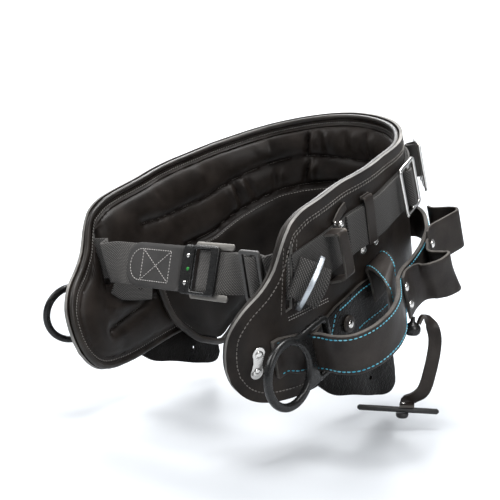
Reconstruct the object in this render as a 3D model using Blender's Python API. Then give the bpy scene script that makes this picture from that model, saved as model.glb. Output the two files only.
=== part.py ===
"""Lineman belt: a padded leather body belt with its webbing, buckles, dee rings and tool loops.

Blender 4.5, metres, +Z up. The wearer's back is at +Y, the front buckle at -Y.
The belt is built level and then pitched by the empty "belt_tilt", because it hangs
front down and its T-bar strap hangs plumb. Azimuth 0 looks along +Y.
"""
import math

import bmesh
import bpy
from mathutils import Matrix, Vector

MM = 0.001

# Driving sizes
PITCH = math.radians(21.0)
FLARE = 0.56
GAP = 0.3 * MM
SHELL_THICK = 3.5 * MM
SHELL_OUT = 7.0 * MM
BINDING_RADIUS = 4.3 * MM
PAD_THICK = 14.0 * MM
WEB_WIDE = 45.0 * MM
WEB_THICK = 2.4 * MM
SLOT_AT = 396.0 * MM
SLOT_LEAN = 0.34
SLOT_WIDE = 9.0 * MM
SLOT_HIGH = 62.0 * MM
FRONT_LINE = -140.0 * MM
BUCKLE_BAR = 29.0 * MM
DEE_WIRE = 8.0 * MM
BAND_THICK = 4.5 * MM
BAND_TOP = -50.0 * MM
BAND_HIGH = 41.0 * MM
STRAP_THICK = 3.0 * MM

# Plan of the waist loop on its middle surface: angle from the centre of the back, radius
PLAN = [
    {"degrees": 0, "radius": 184},
    {"degrees": 25, "radius": 177},
    {"degrees": 50, "radius": 159},
    {"degrees": 75, "radius": 139},
    {"degrees": 100, "radius": 136},
    {"degrees": 125, "radius": 162},
    {"degrees": 150, "radius": 229},
    {"degrees": 175, "radius": 337},
]

# Top edge and lower edge of the body: length round from the centre of the back, height
TOP_EDGE = [
    {"along": 0, "height": 50},
    {"along": 140, "height": 48},
    {"along": 240, "height": 53},
    {"along": 300, "height": 55.5},
    {"along": 350, "height": 56},
    {"along": 383, "height": 49},
    {"along": 396, "height": 36},
    {"along": 412, "height": 15},
    {"along": 430, "height": 3},
    {"along": 452, "height": -6},
    {"along": 466, "height": -15},
    {"along": 477, "height": -26},
    {"along": 484, "height": -41},
    {"along": 488, "height": -57},
]
LOW_EDGE = [
    {"along": 0, "height": -150},
    {"along": 150, "height": -147},
    {"along": 307, "height": -140},
    {"along": 370, "height": -133},
    {"along": 407, "height": -128},
    {"along": 440, "height": -119},
    {"along": 461, "height": -110},
    {"along": 474, "height": -100},
    {"along": 483, "height": -87},
    {"along": 488, "height": -72},
]

# Lower edge of the hanging inner pad, and its front corner
INNER_TOP = -50.0 * MM
INNER_END = 338.0 * MM
INNER_LOW = [
    {"along": 0, "height": -152},
    {"along": 130, "height": -153},
    {"along": 185, "height": -159},
    {"along": 230, "height": -171},
    {"along": 262, "height": -178},
    {"along": 300, "height": -158},
    {"along": 322, "height": -132},
    {"along": 334, "height": -110},
    {"along": 338, "height": -90},
]

# Places of the apron's columns, its distance off the body, and its lower edge
APRON_COLUMNS = (250, 255, 268, 285, 300, 315, 330, 345, 358, 371, 384, 395)
APRON_GAP = 0.8 * MM
APRON_LOW = [
    {"along": 250, "height": -186},
    {"along": 253, "height": -203},
    {"along": 264, "height": -209},
    {"along": 300, "height": -195},
    {"along": 343, "height": -169},
    {"along": 372, "height": -152},
    {"along": 395, "height": -125},
]

# Route of the tool band in plan, level: across, back
BAND_ROUTE = [
    (139, -157),
    (149, -149.5),
    (163, -146.5),
    (181, -147.5),
    (198, -141),
    (208, -122),
    (210, -95),
    (204, -68),
    (193, -46),
    (182, -27),
    (176, -6),
    (174, 18),
    (168, 48),
    (157, 82),
    (142, 110),
    (124, 134),
    (106, 147),
]

FINISHES = {
    "shell_leather": ((0.028, 0.023, 0.020), 0.55, 0.0),
    "binding_leather": ((0.030, 0.026, 0.023), 0.45, 0.0),
    "lining_leather": ((0.022, 0.018, 0.016), 0.60, 0.0),
    "strap_leather": ((0.035, 0.030, 0.027), 0.50, 0.0),
    "tab_leather": ((0.075, 0.072, 0.070), 0.50, 0.0),
    "black_webbing": ((0.020, 0.020, 0.021), 0.85, 0.0),
    "grey_webbing": ((0.060, 0.060, 0.062), 0.85, 0.0),
    "nickel": ((0.62, 0.61, 0.59), 0.25, 1.0),
    "zinc_steel": ((0.55, 0.57, 0.60), 0.35, 1.0),
    "black_metal": ((0.012, 0.012, 0.012), 0.25, 0.6),
    "green_mark": ((0.02, 0.35, 0.05), 0.40, 0.0),
}


def clear_scene():
    for item in list(bpy.data.objects):
        bpy.data.objects.remove(item, do_unlink=True)


def smooth(rows, key, value, at):
    """Value at a place between rows: a cubic curve that never swings past its rows."""
    last = len(rows) - 1
    xs = [row[key] for row in rows]
    ys = [row[value] for row in rows]
    if at <= xs[0]:
        return ys[0]
    if at >= xs[last]:
        return ys[last]
    steps = [(ys[i + 1] - ys[i]) / (xs[i + 1] - xs[i]) for i in range(last)]
    slopes = [0.0] * (last + 1)
    slopes[last] = steps[last - 1]
    for i in range(1, last):
        before, after = steps[i - 1], steps[i]
        if before * after > 0.0:
            slopes[i] = 2.0 * before * after / (before + after)
    i = max(k for k in range(last) if xs[k] <= at)
    width = xs[i + 1] - xs[i]
    t = (at - xs[i]) / width
    a = (2 * t ** 3 - 3 * t ** 2 + 1) * ys[i] + (t ** 3 - 2 * t ** 2 + t) * width * slopes[i]
    b = (3 * t ** 2 - 2 * t ** 3) * ys[i + 1] + (t ** 3 - t ** 2) * width * slopes[i + 1]
    return a + b


def plan_curve():
    """Half of the waist loop as points with the length run up to each."""
    points = []
    length = 0.0
    for step in range(0, 177):
        angle = math.radians(step)
        radius = smooth(PLAN, "degrees", "radius", step) * MM
        point = Vector((radius * math.sin(angle), radius * math.cos(angle), 0.0))
        if points:
            length += (point - points[-1][1]).length
        points.append((length, point))
    return points


CURVE = plan_curve()


def plan(along):
    """Point, forward direction and outward direction on the loop; along is never negative."""
    last = len(CURVE) - 2
    i = min(last, max(0, sum(1 for length, point in CURVE if length <= along) - 1))
    start, a = CURVE[i]
    end, b = CURVE[i + 1]
    point = a.lerp(b, (along - start) / (end - start))
    before = CURVE[max(0, i - 6)][1]
    after = CURVE[min(last + 1, i + 7)][1]
    forward = (after - before).normalized()
    if i < 6:
        forward = forward.lerp(Vector((1.0, 0.0, 0.0)), 1.0 - i / 6.0).normalized()
    return point, forward, Vector((-forward.y, forward.x, 0.0))


def belt_point(along, height, out):
    """A place on the level belt; along is positive on the wearer's left."""
    side = 1.0 if along >= 0.0 else -1.0
    point, forward, outward = plan(abs(along))
    place = point + outward * out
    grow = 1.0 + FLARE * height
    return Vector((side * place.x * grow, place.y * grow, height))


def rise(along, height=0.0):
    """Direction straight up the face of the belt."""
    span = 20 * MM
    return (belt_point(along, height + span, 0.0) - belt_point(along, height - span, 0.0)).normalized()


def seat(along, height, out, turn=0.0):
    """Axes of a fitting on the belt: X to the right as seen from outside, Y up, Z outward."""
    side = 1.0 if along >= 0.0 else -1.0
    point, forward, outward = plan(abs(along))
    out_axis = Vector((side * outward.x, outward.y, 0.0))
    up = Vector((0.0, 0.0, 1.0))
    right = up.cross(out_axis)
    axes = Matrix((right, up, out_axis)).transposed().to_4x4()
    place = Matrix.Translation(belt_point(along, height, out))
    return place @ axes @ Matrix.Rotation(turn, 4, "Z")


def material(name):
    found = bpy.data.materials.get(name)
    if found:
        return found
    colour, rough, metal = FINISHES[name]
    made = bpy.data.materials.new(name)
    made.use_nodes = True
    shader = made.node_tree.nodes["Principled BSDF"]
    shader.inputs["Base Color"].default_value = (*colour, 1.0)
    shader.inputs["Roughness"].default_value = rough
    shader.inputs["Metallic"].default_value = metal
    made.diffuse_color = (*colour, 1.0)
    return made


def keep(name, data, finish, parent, matrix=None):
    """Put mesh or curve data in the scene as one named sub-part."""
    item = bpy.data.objects.new(name, data)
    bpy.context.scene.collection.objects.link(item)
    data.materials.append(material(finish))
    item.parent = parent
    if matrix is not None:
        item.matrix_local = matrix
    return item


def mesh_of(name, bm):
    bmesh.ops.recalc_face_normals(bm, faces=bm.faces[:])
    data = bpy.data.meshes.new(name)
    bm.to_mesh(data)
    bm.free()
    return data


def sheet(name, finish, parent, columns, rows, outer, inner, missing=()):
    """A wall of leather or padding: a grid bent to its outer face, then extruded inward."""
    bm = bmesh.new()
    keys = bm.verts.layers.int.new("cell")
    grid = [[bm.verts.new(outer(i, j)) for j in range(rows)] for i in range(columns)]
    for i in range(columns):
        for j in range(rows):
            grid[i][j][keys] = i * rows + j
    for i in range(columns - 1):
        for j in range(rows - 1):
            if (i, j) not in missing:
                corners = (grid[i][j], grid[i + 1][j], grid[i + 1][j + 1], grid[i][j + 1])
                bm.faces.new(corners)
    loose = [vert for vert in bm.verts if not vert.link_faces]
    bmesh.ops.delete(bm, geom=loose, context="VERTS")
    made = bmesh.ops.extrude_face_region(bm, geom=bm.faces[:], use_keep_orig=True)
    for vert in made["geom"]:
        if isinstance(vert, bmesh.types.BMVert):
            vert.co = inner(vert[keys] // rows, vert[keys] % rows)
    bmesh.ops.triangulate(bm, faces=bm.faces[:])
    return keep(name, mesh_of(name, bm), finish, parent)


def ribbon(name, finish, parent, route, across, wide, thick, closed=False, skew=False):
    """A strap: a rectangle extruded from place to place along its route.

    route holds the strap's middle; across gives the direction of its width at each place.
    A skewed strap keeps that direction; otherwise it is squared to the run.
    """
    count = len(route)
    bm = bmesh.new()
    rings = []
    for i, place in enumerate(route):
        before = route[i - 1] if (i > 0 or closed) else place
        after = route[(i + 1) % count] if (i < count - 1 or closed) else place
        back = (place - before).normalized() if (place - before).length > 0 else None
        ahead = (after - place).normalized() if (after - place).length > 0 else None
        run = ((back or ahead) + (ahead or back)).normalized()
        width = across[i].normalized()
        if not skew:
            width = (width - run * width.dot(run)).normalized()
        face = run.cross(width).normalized()
        stretch = 1.0
        if back and ahead:
            stretch = min(1.6, 1.0 / max(0.5, run.dot(ahead)))
        w = wide[i] if isinstance(wide, list) else wide
        ring = []
        for a, b in ((-0.5, -0.5), (0.5, -0.5), (0.5, 0.5), (-0.5, 0.5)):
            ring.append(bm.verts.new(place + width * w * a + face * thick * stretch * b))
        rings.append(ring)
    links = count if closed else count - 1
    for i in range(links):
        first, second = rings[i], rings[(i + 1) % count]
        for k in range(4):
            m = (k + 1) % 4
            bm.faces.new((first[k], first[m], second[m], second[k]))
    if not closed:
        bm.faces.new(rings[0])
        bm.faces.new(rings[-1])
    bmesh.ops.triangulate(bm, faces=bm.faces[:])
    return keep(name, mesh_of(name, bm), finish, parent)


def tube(name, finish, parent, points, radius, closed=False, fine=1, matrix=None):
    """A round bar or bead: a poly curve with a bevel and filled caps."""
    data = bpy.data.curves.new(name, "CURVE")
    data.dimensions = "3D"
    data.bevel_depth = radius
    data.bevel_resolution = fine
    data.use_fill_caps = not closed
    data.render_resolution_u = 0
    spline = data.splines.new("POLY")
    spline.points.add(len(points) - 1)
    for knot, point in zip(spline.points, points):
        knot.co = (*point, 1.0)
    spline.use_cyclic_u = closed
    return keep(name, data, finish, parent, matrix)


def turned(name, finish, parent, profile, steps, matrix=None):
    """A rivet, washer or stud: a profile of (radius, height) rows spun about Z."""
    bm = bmesh.new()
    verts = [bm.verts.new((radius, 0.0, height)) for radius, height in profile]
    for a, b in zip(verts, verts[1:]):
        bm.edges.new((a, b))
    if profile[0][0] > 0.0:
        bm.edges.new((verts[-1], verts[0]))
    full = math.tau
    bmesh.ops.spin(bm, geom=bm.verts[:] + bm.edges[:], axis=(0, 0, 1), cent=(0, 0, 0),
                   angle=full, steps=steps, use_duplicate=False)
    bmesh.ops.remove_doubles(bm, verts=bm.verts[:], dist=1e-6)
    return keep(name, mesh_of(name, bm), finish, parent, matrix)


def cell_plate(name, finish, parent, xs, ys, missing, thick, bevel, matrix=None):
    """A plate with windows: a grid of cells without the missing ones, extruded and bevelled."""
    bm = bmesh.new()
    grid = [[bm.verts.new((x, y, -thick / 2)) for y in ys] for x in xs]
    for i in range(len(xs) - 1):
        for j in range(len(ys) - 1):
            if (i, j) not in missing:
                corners = (grid[i][j], grid[i + 1][j], grid[i + 1][j + 1], grid[i][j + 1])
                bm.faces.new(corners)
    made = bmesh.ops.extrude_face_region(bm, geom=bm.faces[:], use_keep_orig=True)
    lifted = [vert for vert in made["geom"] if isinstance(vert, bmesh.types.BMVert)]
    bmesh.ops.translate(bm, verts=lifted, vec=(0, 0, thick))
    bmesh.ops.recalc_face_normals(bm, faces=bm.faces[:])
    flat = [edge for edge in bm.edges if edge.calc_face_angle(0.0) < 0.1]
    bmesh.ops.dissolve_edges(bm, edges=flat, use_verts=False)
    corners = [edge for edge in bm.edges
               if abs(edge.verts[0].co.z - edge.verts[1].co.z) > thick / 2
               and edge.calc_face_angle_signed(0.0) > 1.0]
    if bevel > 0.0:
        bmesh.ops.bevel(bm, geom=corners, offset=bevel, segments=2, affect="EDGES", profile=0.5)
    bmesh.ops.triangulate(bm, faces=bm.faces[:])
    return keep(name, mesh_of(name, bm), finish, parent, matrix)


def outline_plate(name, finish, parent, outline, hole, thick, matrix=None):
    """A flat plate with a free outline; hole is an outline with as many points, or None."""
    bm = bmesh.new()
    outer = [bm.verts.new((x, y, -thick / 2)) for x, y in outline]
    if hole:
        inner = [bm.verts.new((x, y, -thick / 2)) for x, y in hole]
        for i in range(len(outer)):
            k = (i + 1) % len(outer)
            bm.faces.new((outer[i], outer[k], inner[k], inner[i]))
    else:
        bm.faces.new(outer)
    made = bmesh.ops.extrude_face_region(bm, geom=bm.faces[:], use_keep_orig=True)
    lifted = [vert for vert in made["geom"] if isinstance(vert, bmesh.types.BMVert)]
    bmesh.ops.translate(bm, verts=lifted, vec=(0, 0, thick))
    bmesh.ops.triangulate(bm, faces=bm.faces[:])
    return keep(name, mesh_of(name, bm), finish, parent, matrix)


def rivet(name, parent, matrix, radius=4.5 * MM, high=2.0 * MM, finish="nickel"):
    """A domed rivet head that sits just above the leather."""
    profile = [(0.0, GAP), (radius, GAP), (radius, GAP + high * 0.35),
               (radius * 0.7, GAP + high * 0.85), (0.0, GAP + high)]
    return turned(name, finish, parent, profile, 10, matrix)


def top_edge(along):
    return smooth(TOP_EDGE, "along", "height", abs(along) / MM) * MM


def low_edge(along):
    return smooth(LOW_EDGE, "along", "height", abs(along) / MM) * MM


# Places of the columns of the body's grid, from the centre of the back to the front ends
COLUMNS = [0, 18, 36, 54, 72, 90, 108, 126, 144, 162, 180, 200, 225, 255, 285, 315, 345, 366,
           SLOT_AT / MM - 12, SLOT_AT / MM - SLOT_WIDE / MM / 2, SLOT_AT / MM + SLOT_WIDE / MM / 2,
           414, 430, 445, 458, 469, 478, 484]
TIP = 488 * MM


def both_sides(values):
    """The same places on the wearer's right and left, in one run."""
    places = [value * MM for value in values]
    return [-value for value in reversed(places) if value > 0.0] + places


def lean(along, height):
    """Length run of a grid point: the slots lean forward at their foot, and so do the columns."""
    away = abs(abs(along) - SLOT_AT)
    share = max(0.0, 1.0 - away / (40 * MM))
    share *= max(0.0, 1.0 - max(0.0, abs(height) - 60 * MM) / (50 * MM))
    sign = 1.0 if along >= 0.0 else -1.0
    return along - sign * SLOT_LEAN * height * share


def drawn_in(edge, along, inset):
    """Inset measured straight across a sloping edge."""
    step = 3 * MM
    slope = (edge(along + step) - edge(along - step)) / (2 * step)
    return inset * min(2.4, math.hypot(1.0, slope))


def wing_column(along, inset):
    """Six points up one column of the body as (along, height): the slot lies on rows 2 and 4."""
    top_at = lean(along, top_edge(along))
    top = top_edge(top_at) - drawn_in(top_edge, top_at, inset)
    low = low_edge(along) + drawn_in(low_edge, along, inset)
    slot = SLOT_HIGH / 2
    if abs(along) > 405 * MM:
        gap = max(top - low, 14 * MM)
        if abs(along) > 478 * MM:
            low = (top + low - gap) / 2
            top_at = along
        return [(along, low + gap * k / 5) for k in range(5)] + [(top_at, low + gap)]
    heights = [(low * 2 - slot) / 3, -slot, 0.0, min(slot, top - 3 * MM)]
    return [(along, low)] + [(lean(along, h), h) for h in heights] + [(top_at, top)]


def wing_grid(inset):
    """Grid of the body, drawn in from its outline by the inset."""
    reach = TIP - inset
    values = [value for value in COLUMNS if value * MM < reach - 2 * MM] + [reach / MM]
    return [wing_column(along, inset) for along in both_sides(values)]


def slot_cells(grid):
    """Grid cells that are left out where the webbing passes through the body."""
    cells = set()
    for i in range(len(grid) - 1):
        middle = abs(grid[i][3][0] + grid[i + 1][3][0]) / 2
        wide = abs(grid[i][3][0] - grid[i + 1][3][0])
        if abs(middle - SLOT_AT) < 4 * MM and wide < SLOT_WIDE + 1 * MM:
            cells.update(((i, 2), (i, 3)))
    return cells


def make_shell(parent):
    grid = wing_grid(0.0)
    inside = SHELL_OUT - SHELL_THICK

    def outer(i, j):
        return belt_point(*grid[i][j], SHELL_OUT)

    def inner(i, j):
        return belt_point(*grid[i][j], inside)

    sheet("outer_shell", "shell_leather", parent, len(grid), 6, outer, inner, slot_cells(grid))


def make_binding(parent):
    """The rolled edge: a bead just inside the outline of the body."""
    grid = wing_grid(0.0)
    loop = [column[-1] for column in grid]
    loop += [point for point in reversed(grid[-1][1:-1])]
    loop += [column[0] for column in reversed(grid)]
    loop += [point for point in grid[0][1:-1]]
    inset = BINDING_RADIUS + 0.2 * MM
    out = SHELL_OUT - SHELL_THICK - 1.5 * GAP - BINDING_RADIUS
    points = []
    for i, (along, height) in enumerate(loop):
        before = Vector(loop[i - 1])
        after = Vector(loop[(i + 1) % len(loop)])
        here = Vector((along, height))
        run = (here - before).normalized() + (after - here).normalized()
        run.normalize()
        moved = here + Vector((run.y, -run.x)) * inset
        if (here - before).length > 5 * MM or i % 2 == 0:
            points.append(belt_point(moved.x, moved.y, out))
    tube("edge_binding", "binding_leather", parent, points, BINDING_RADIUS, closed=True)


def make_lining(parent):
    """The padded lining, thinner at its rim and along its quilted line."""
    grid = wing_grid(2 * BINDING_RADIUS + 11 * GAP)
    last = len(grid) - 1
    outside = SHELL_OUT - SHELL_THICK - GAP

    def thick(i, j):
        if j in (0, 5) or i in (0, last):
            return 5 * MM
        if i in (1, last - 1):
            return 9 * MM
        return PAD_THICK * (0.75 if j == 2 else 1.0)

    def outer(i, j):
        return belt_point(*grid[i][j], outside)

    def inner(i, j):
        return belt_point(*grid[i][j], outside - thick(i, j))

    sheet("lining_pad", "lining_leather", parent, len(grid), 6, outer, inner, slot_cells(grid))


def inner_low(along):
    return smooth(INNER_LOW, "along", "height", abs(along) / MM) * MM


def make_inner_pad(parent):
    """The pad that hangs inside the back, with its own piping along the lower edge."""
    values = [value for value in COLUMNS if value < 330] + [331]
    columns = both_sides(values)
    outside = SHELL_OUT - SHELL_THICK - PAD_THICK - 3 * GAP
    rim = 4.9 * MM
    rows = 4

    def height(along, j):
        low = inner_low(along) + drawn_in(inner_low, along, rim)
        return low + (INNER_TOP - low) * j / (rows - 1)

    def outer(i, j):
        return belt_point(columns[i], height(columns[i], j), outside)

    def inner(i, j):
        thick = 9 * MM if j in (1, 2) else 5 * MM
        return belt_point(columns[i], height(columns[i], j), outside - thick)

    sheet("inner_pad", "lining_leather", parent, len(columns), rows, outer, inner)
    half = [(INNER_END + 2 * MM, INNER_TOP - 8 * MM), (INNER_END + 2 * MM, -90 * MM)]
    for value in (335, 326, 315, 300, 285, 255, 225, 180, 126, 72, 36, 0):
        half.append((value * MM, inner_low(value * MM)))
    both = half + [(-along, high) for along, high in reversed(half[:-1])]
    points = [belt_point(along, high, outside - 4.2 * MM) for along, high in both]
    tube("inner_pad_piping", "binding_leather", parent, points, 4 * MM)


def make_outer_web(parent):
    """Webbing round the outside of the body from slot to slot."""
    out = SHELL_OUT + GAP + WEB_THICK / 2
    stations = both_sides([value for value in COLUMNS if value < 385] + [SLOT_AT / MM - 6])
    route = [belt_point(along, 0.0, out) for along in stations]
    across = [rise(along) for along in stations]
    across[0] = slot_axis(-1)
    across[-1] = slot_axis(1)
    ribbon("outer_web", "black_webbing", parent, route, across, WEB_WIDE, WEB_THICK)


def slot_axis(side):
    """Direction up the slot of one side, for the webbing that passes through it."""
    foot = belt_point(side * (SLOT_AT + SLOT_LEAN * 20 * MM), -20 * MM, 0.0)
    head = belt_point(side * (SLOT_AT - SLOT_LEAN * 20 * MM), 20 * MM, 0.0)
    return (head - foot).normalized()


# Turn of the front webbing about its own run, in degrees, at places across the front in mm
FRONT_LEAN = [(-108, 0), (-95, -17), (-76, -34), (56, -34), (80, -7), (108, -7), (113, 0)]


def lean_at(across):
    """Turn of the front line at one place: the buckle leans back, the webbing twists to it."""
    spot = across / MM
    if spot <= FRONT_LEAN[0][0] or spot >= FRONT_LEAN[-1][0]:
        return 0.0
    for first, second in zip(FRONT_LEAN, FRONT_LEAN[1:]):
        if spot <= second[0]:
            share = (spot - first[0]) / (second[0] - first[0])
            return math.radians(first[1] + (second[1] - first[1]) * share)
    return 0.0


def front_place(across, back=0.0, up=0.0):
    """A place on the front line, behind its middle and up, with the line's turn."""
    turn = lean_at(across)
    y = back * math.cos(turn) - up * math.sin(turn)
    z = back * math.sin(turn) + up * math.cos(turn)
    return Vector((across, FRONT_LINE + y, z))


def front_up(across):
    """Direction up the webbing's width at one place of the front line."""
    turn = lean_at(across)
    return Vector((0.0, -math.sin(turn), math.cos(turn)))


def make_front_webs(parent):
    """Webbing from each slot to the buckle: the left one wraps its bar and comes back."""
    leaning = slot_axis(-1)
    route = [belt_point(-SLOT_AT, 0.0, 7.2 * MM), belt_point(-SLOT_AT, 0.0, -16 * MM)]
    across = [leaning, leaning]
    for spot in (-95, -89, -82, -76, -15):
        route.append(front_place(spot * MM))
        across.append(front_up(spot * MM))
    ribbon("front_web_right", "grey_webbing", parent, route, across, WEB_WIDE, WEB_THICK)
    leaning = slot_axis(1)
    bar = BUCKLE_BAR
    wrap = 4.2 * MM
    behind = 5.2 * MM
    route = [belt_point(SLOT_AT, 0.0, 7.2 * MM), belt_point(SLOT_AT, 0.0, -16 * MM)]
    across = [leaning, leaning]
    for spot in (104, 80, 74, 68, 62, 56, 50):
        route.append(front_place(spot * MM, behind))
        across.append(front_up(spot * MM))
    for step in range(6):
        angle = math.pi * step / 5
        route.append(front_place(bar - wrap * math.sin(angle), wrap * math.cos(angle)))
        across.append(front_up(bar))
    for spot, back in ((50, -4.2), (56, -3.4), (62, -2.0), (68, 0.4), (74, 2.0), (80, 2.0),
                       (103, 2.0)):
        route.append(front_place(spot * MM, back * MM))
        across.append(front_up(spot * MM))
    wide = WEB_WIDE - 3 * MM
    ribbon("front_web_left", "grey_webbing", parent, route, across, wide, WEB_THICK)


def front_seat(across, front, turn=0.0):
    """Axes of a front fitting as the viewer sees it: X to the right, Y up, Z to the front."""
    axes = Matrix(((1, 0, 0), (0, 0, -1), (0, 1, 0))).to_4x4()
    line = Matrix.Translation((across, FRONT_LINE, 0.0))
    lean = Matrix.Rotation(lean_at(across), 4, "X")
    place = line @ lean @ Matrix.Translation((0.0, -front, 0.0))
    return place @ axes @ Matrix.Rotation(turn, 4, "Z")


def rounded(wide, high, radius, turns=3):
    """Outline of a rectangle with arcs for corners."""
    points = []
    corners = ((1, 1, 0), (-1, 1, 90), (-1, -1, 180), (1, -1, 270))
    for sx, sy, start in corners:
        cx = sx * (wide / 2 - radius)
        cy = sy * (high / 2 - radius)
        for k in range(turns + 1):
            angle = math.radians(start + 90 * k / turns)
            points.append((cx + radius * math.cos(angle), cy + radius * math.sin(angle)))
    return points


def make_front_hardware(parent):
    """Leather tab, quick-connect buckle and strap slider across the front."""
    fold = 3 * MM
    left = -75 * MM
    right = 2.0 * MM
    reach = WEB_THICK / 2 + GAP + STRAP_THICK / 2
    route = [front_place(left, -reach), front_place(right - fold, -reach),
             front_place(right - 0.8 * MM, 0.9 * MM - reach), front_place(right),
             front_place(right - 0.8 * MM, reach - 0.9 * MM), front_place(right - fold, reach),
             front_place(left, reach)]
    across = [front_up(right)] * 7
    ribbon("leather_tab", "tab_leather", parent, route, across, WEB_WIDE + 2 * MM, STRAP_THICK)
    latch = front_seat(11.4 * MM, 3 * MM)
    outline_plate("latch_plate", "black_metal", parent, rounded(14.8 * MM, 50 * MM, 4 * MM), None,
                  4 * MM, latch)
    for name, rise in (("latch_rivet_upper", 14 * MM), ("latch_rivet_lower", -14 * MM)):
        place = latch @ Matrix.Translation((0, rise, 2 * MM))
        rivet(name, parent, place, 2.2 * MM, 0.8 * MM)
    place = latch @ Matrix.Translation((2 * MM, 0.5 * MM, 2 * MM))
    rivet("lock_mark", parent, place, 1.8 * MM, 0.5 * MM, "green_mark")
    wide = 36 * MM
    frame = front_seat(19.1 * MM + wide / 2, 8.2 * MM)
    xs = [-wide / 2, -wide / 2 + 3.6 * MM, wide / 2 - 10 * MM, wide / 2]
    ys = [-25.2 * MM, -21.2 * MM, 21.2 * MM, 25.2 * MM]
    cell_plate("buckle_frame", "black_metal", parent, xs, ys, {(1, 1)}, 4.6 * MM, 1.6 * MM, frame)
    bar_from = front_place(BUCKLE_BAR, 0.0, -25.2 * MM)
    bar_to = front_place(BUCKLE_BAR, 0.0, 25.2 * MM)
    tube("buckle_bar", "black_metal", parent, [bar_from, bar_to], 2.5 * MM, fine=2)
    ears = front_seat(45.5 * MM, 4.6 * MM)
    for name, rise in (("steel_ear_upper", 25.4 * MM), ("steel_ear_lower", -25.4 * MM)):
        place = ears @ Matrix.Translation((0, rise, 0))
        ear = rounded(50 * MM, 7 * MM, 3.3 * MM)
        outline_plate(name, "zinc_steel", parent, ear, None, 2.2 * MM, place)
    slide = front_seat(95 * MM, 1.4 * MM)
    xs = [-12.5 * MM, -8.5 * MM, -2 * MM, 2 * MM, 8.5 * MM, 12.5 * MM]
    ys = [-27 * MM, -22.6 * MM, 22.6 * MM, 27 * MM]
    windows = {(1, 1), (3, 1)}
    cell_plate("strap_slider", "black_metal", parent, xs, ys, windows, 3.6 * MM, 2 * MM, slide)


def make_pad_strap(parent):
    """Dark webbing that ties the inner pad to the slot on the wearer's right."""
    out = SHELL_OUT - SHELL_THICK - PAD_THICK - 2 * GAP - 1.2 * MM
    ends = [(-402, -30), (-390, -44), (-370, -55), (-349, -65)]
    route = [belt_point(a * MM, h * MM, out) for a, h in ends]
    across = []
    for i in range(len(route)):
        run = (route[min(i + 1, 3)] - route[max(i - 1, 0)]).normalized()
        across.append(run.cross(Vector((1.0, 0.1, 0.0))).normalized())
    ribbon("pad_strap", "black_webbing", parent, route, across, 22 * MM, 2 * MM)


# Frame of a dee around its slot, measured from the centre of its ring: along, up
DEE_RING = 31.0 * MM
DEE_SLOT = (38.0 * MM, 60.0 * MM, 23.0 * MM)
DEE_REACH = 64.0 * MM


def make_dee(name, parent, matrix, hand):
    """A forged dee: a round eye and, beside it, a frame with the slot for its strap."""
    slot_in, slot_out, slot_up = DEE_SLOT
    arm = 6.5 * MM
    bar = slot_out + 7 * MM
    eye = DEE_RING - DEE_WIRE / 2
    rim = DEE_RING + DEE_WIRE / 2
    bm = bmesh.new()

    def point(x, y):
        return bm.verts.new((x * hand, y, -3.5 * MM))

    hole = []
    outer = []
    for k in range(16):
        angle = math.tau * k / 16
        hole.append(point(eye * math.cos(angle), eye * math.sin(angle)))
    edge = {0: 0.0, 1: 9 * MM, 2: slot_up, 14: -slot_up, 15: -9 * MM}
    for k in range(16):
        angle = math.tau * k / 16
        if k in edge:
            outer.append(point(slot_in, edge[k]))
        else:
            outer.append(point(rim * math.cos(angle), rim * math.sin(angle)))
    for k in range(16):
        m = (k + 1) % 16
        bm.faces.new((outer[k], outer[m], hole[m], hole[k]))
    top_in, top_out = point(slot_in, slot_up + arm), point(slot_out, slot_up)
    top_end, low_end = point(bar, slot_up + arm - 2 * MM), point(bar, -slot_up - arm + 2 * MM)
    low_out, low_in = point(slot_out, -slot_up), point(slot_in, -slot_up - arm)
    bm.faces.new((outer[2], outer[3], top_in))
    bm.faces.new((outer[2], top_in, top_end, top_out))
    bm.faces.new((top_out, top_end, low_end, low_out))
    bm.faces.new((low_out, low_end, low_in, outer[14]))
    bm.faces.new((outer[14], low_in, outer[13]))
    made = bmesh.ops.extrude_face_region(bm, geom=bm.faces[:], use_keep_orig=True)
    lifted = [vert for vert in made["geom"] if isinstance(vert, bmesh.types.BMVert)]
    bmesh.ops.translate(bm, verts=lifted, vec=(0, 0, 7 * MM))
    bmesh.ops.recalc_face_normals(bm, faces=bm.faces[:])
    rims = [edge for edge in bm.edges if edge.calc_face_angle(0.0) > 1.2
            and abs(edge.verts[0].co.z - edge.verts[1].co.z) < MM]
    bmesh.ops.bevel(bm, geom=rims, offset=1.8 * MM, segments=1, affect="EDGES", profile=0.5)
    bmesh.ops.triangulate(bm, faces=bm.faces[:])
    keep(name, mesh_of(name, bm), "black_metal", parent, matrix)


def make_dees(parent):
    """The left dee lies forward along its wing, the right one stands out from it."""
    left = seat(386.5 * MM, -71 * MM, 34 * MM)
    swing = Matrix.Rotation(math.radians(3.5), 4, "Y")
    make_dee("dee_ring_left", parent, left @ swing @ Matrix.Translation((-DEE_REACH, 0, 0)), 1.0)
    right = seat(-367 * MM, -58 * MM, 17 * MM)
    swing = Matrix.Rotation(math.radians(-26), 4, "Y")
    make_dee("dee_ring_right", parent, right @ swing @ Matrix.Translation((DEE_REACH, 0, 0)), -1.0)
    # Plain leather hanger that runs through the slot of the right dee
    middle = -58 * MM
    low = SHELL_OUT + 1.5 * GAP + BAND_THICK / 2
    high = low + 4.2 * MM
    places = [(438, low), (414, low), (402, low + 3 * MM), (391, 18.5 * MM), (381, 23.3 * MM),
              (373, 25.9 * MM), (365, 24.8 * MM), (354, 19 * MM), (340, high + 1 * MM), (315, high)]
    route = [belt_point(-along * MM, middle, out) for along, out in places]
    across = [rise(-along * MM, middle) for along, out in places]
    ribbon("dee_hanger_right", "strap_leather", parent, route, across, 40 * MM, BAND_THICK)


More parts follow.
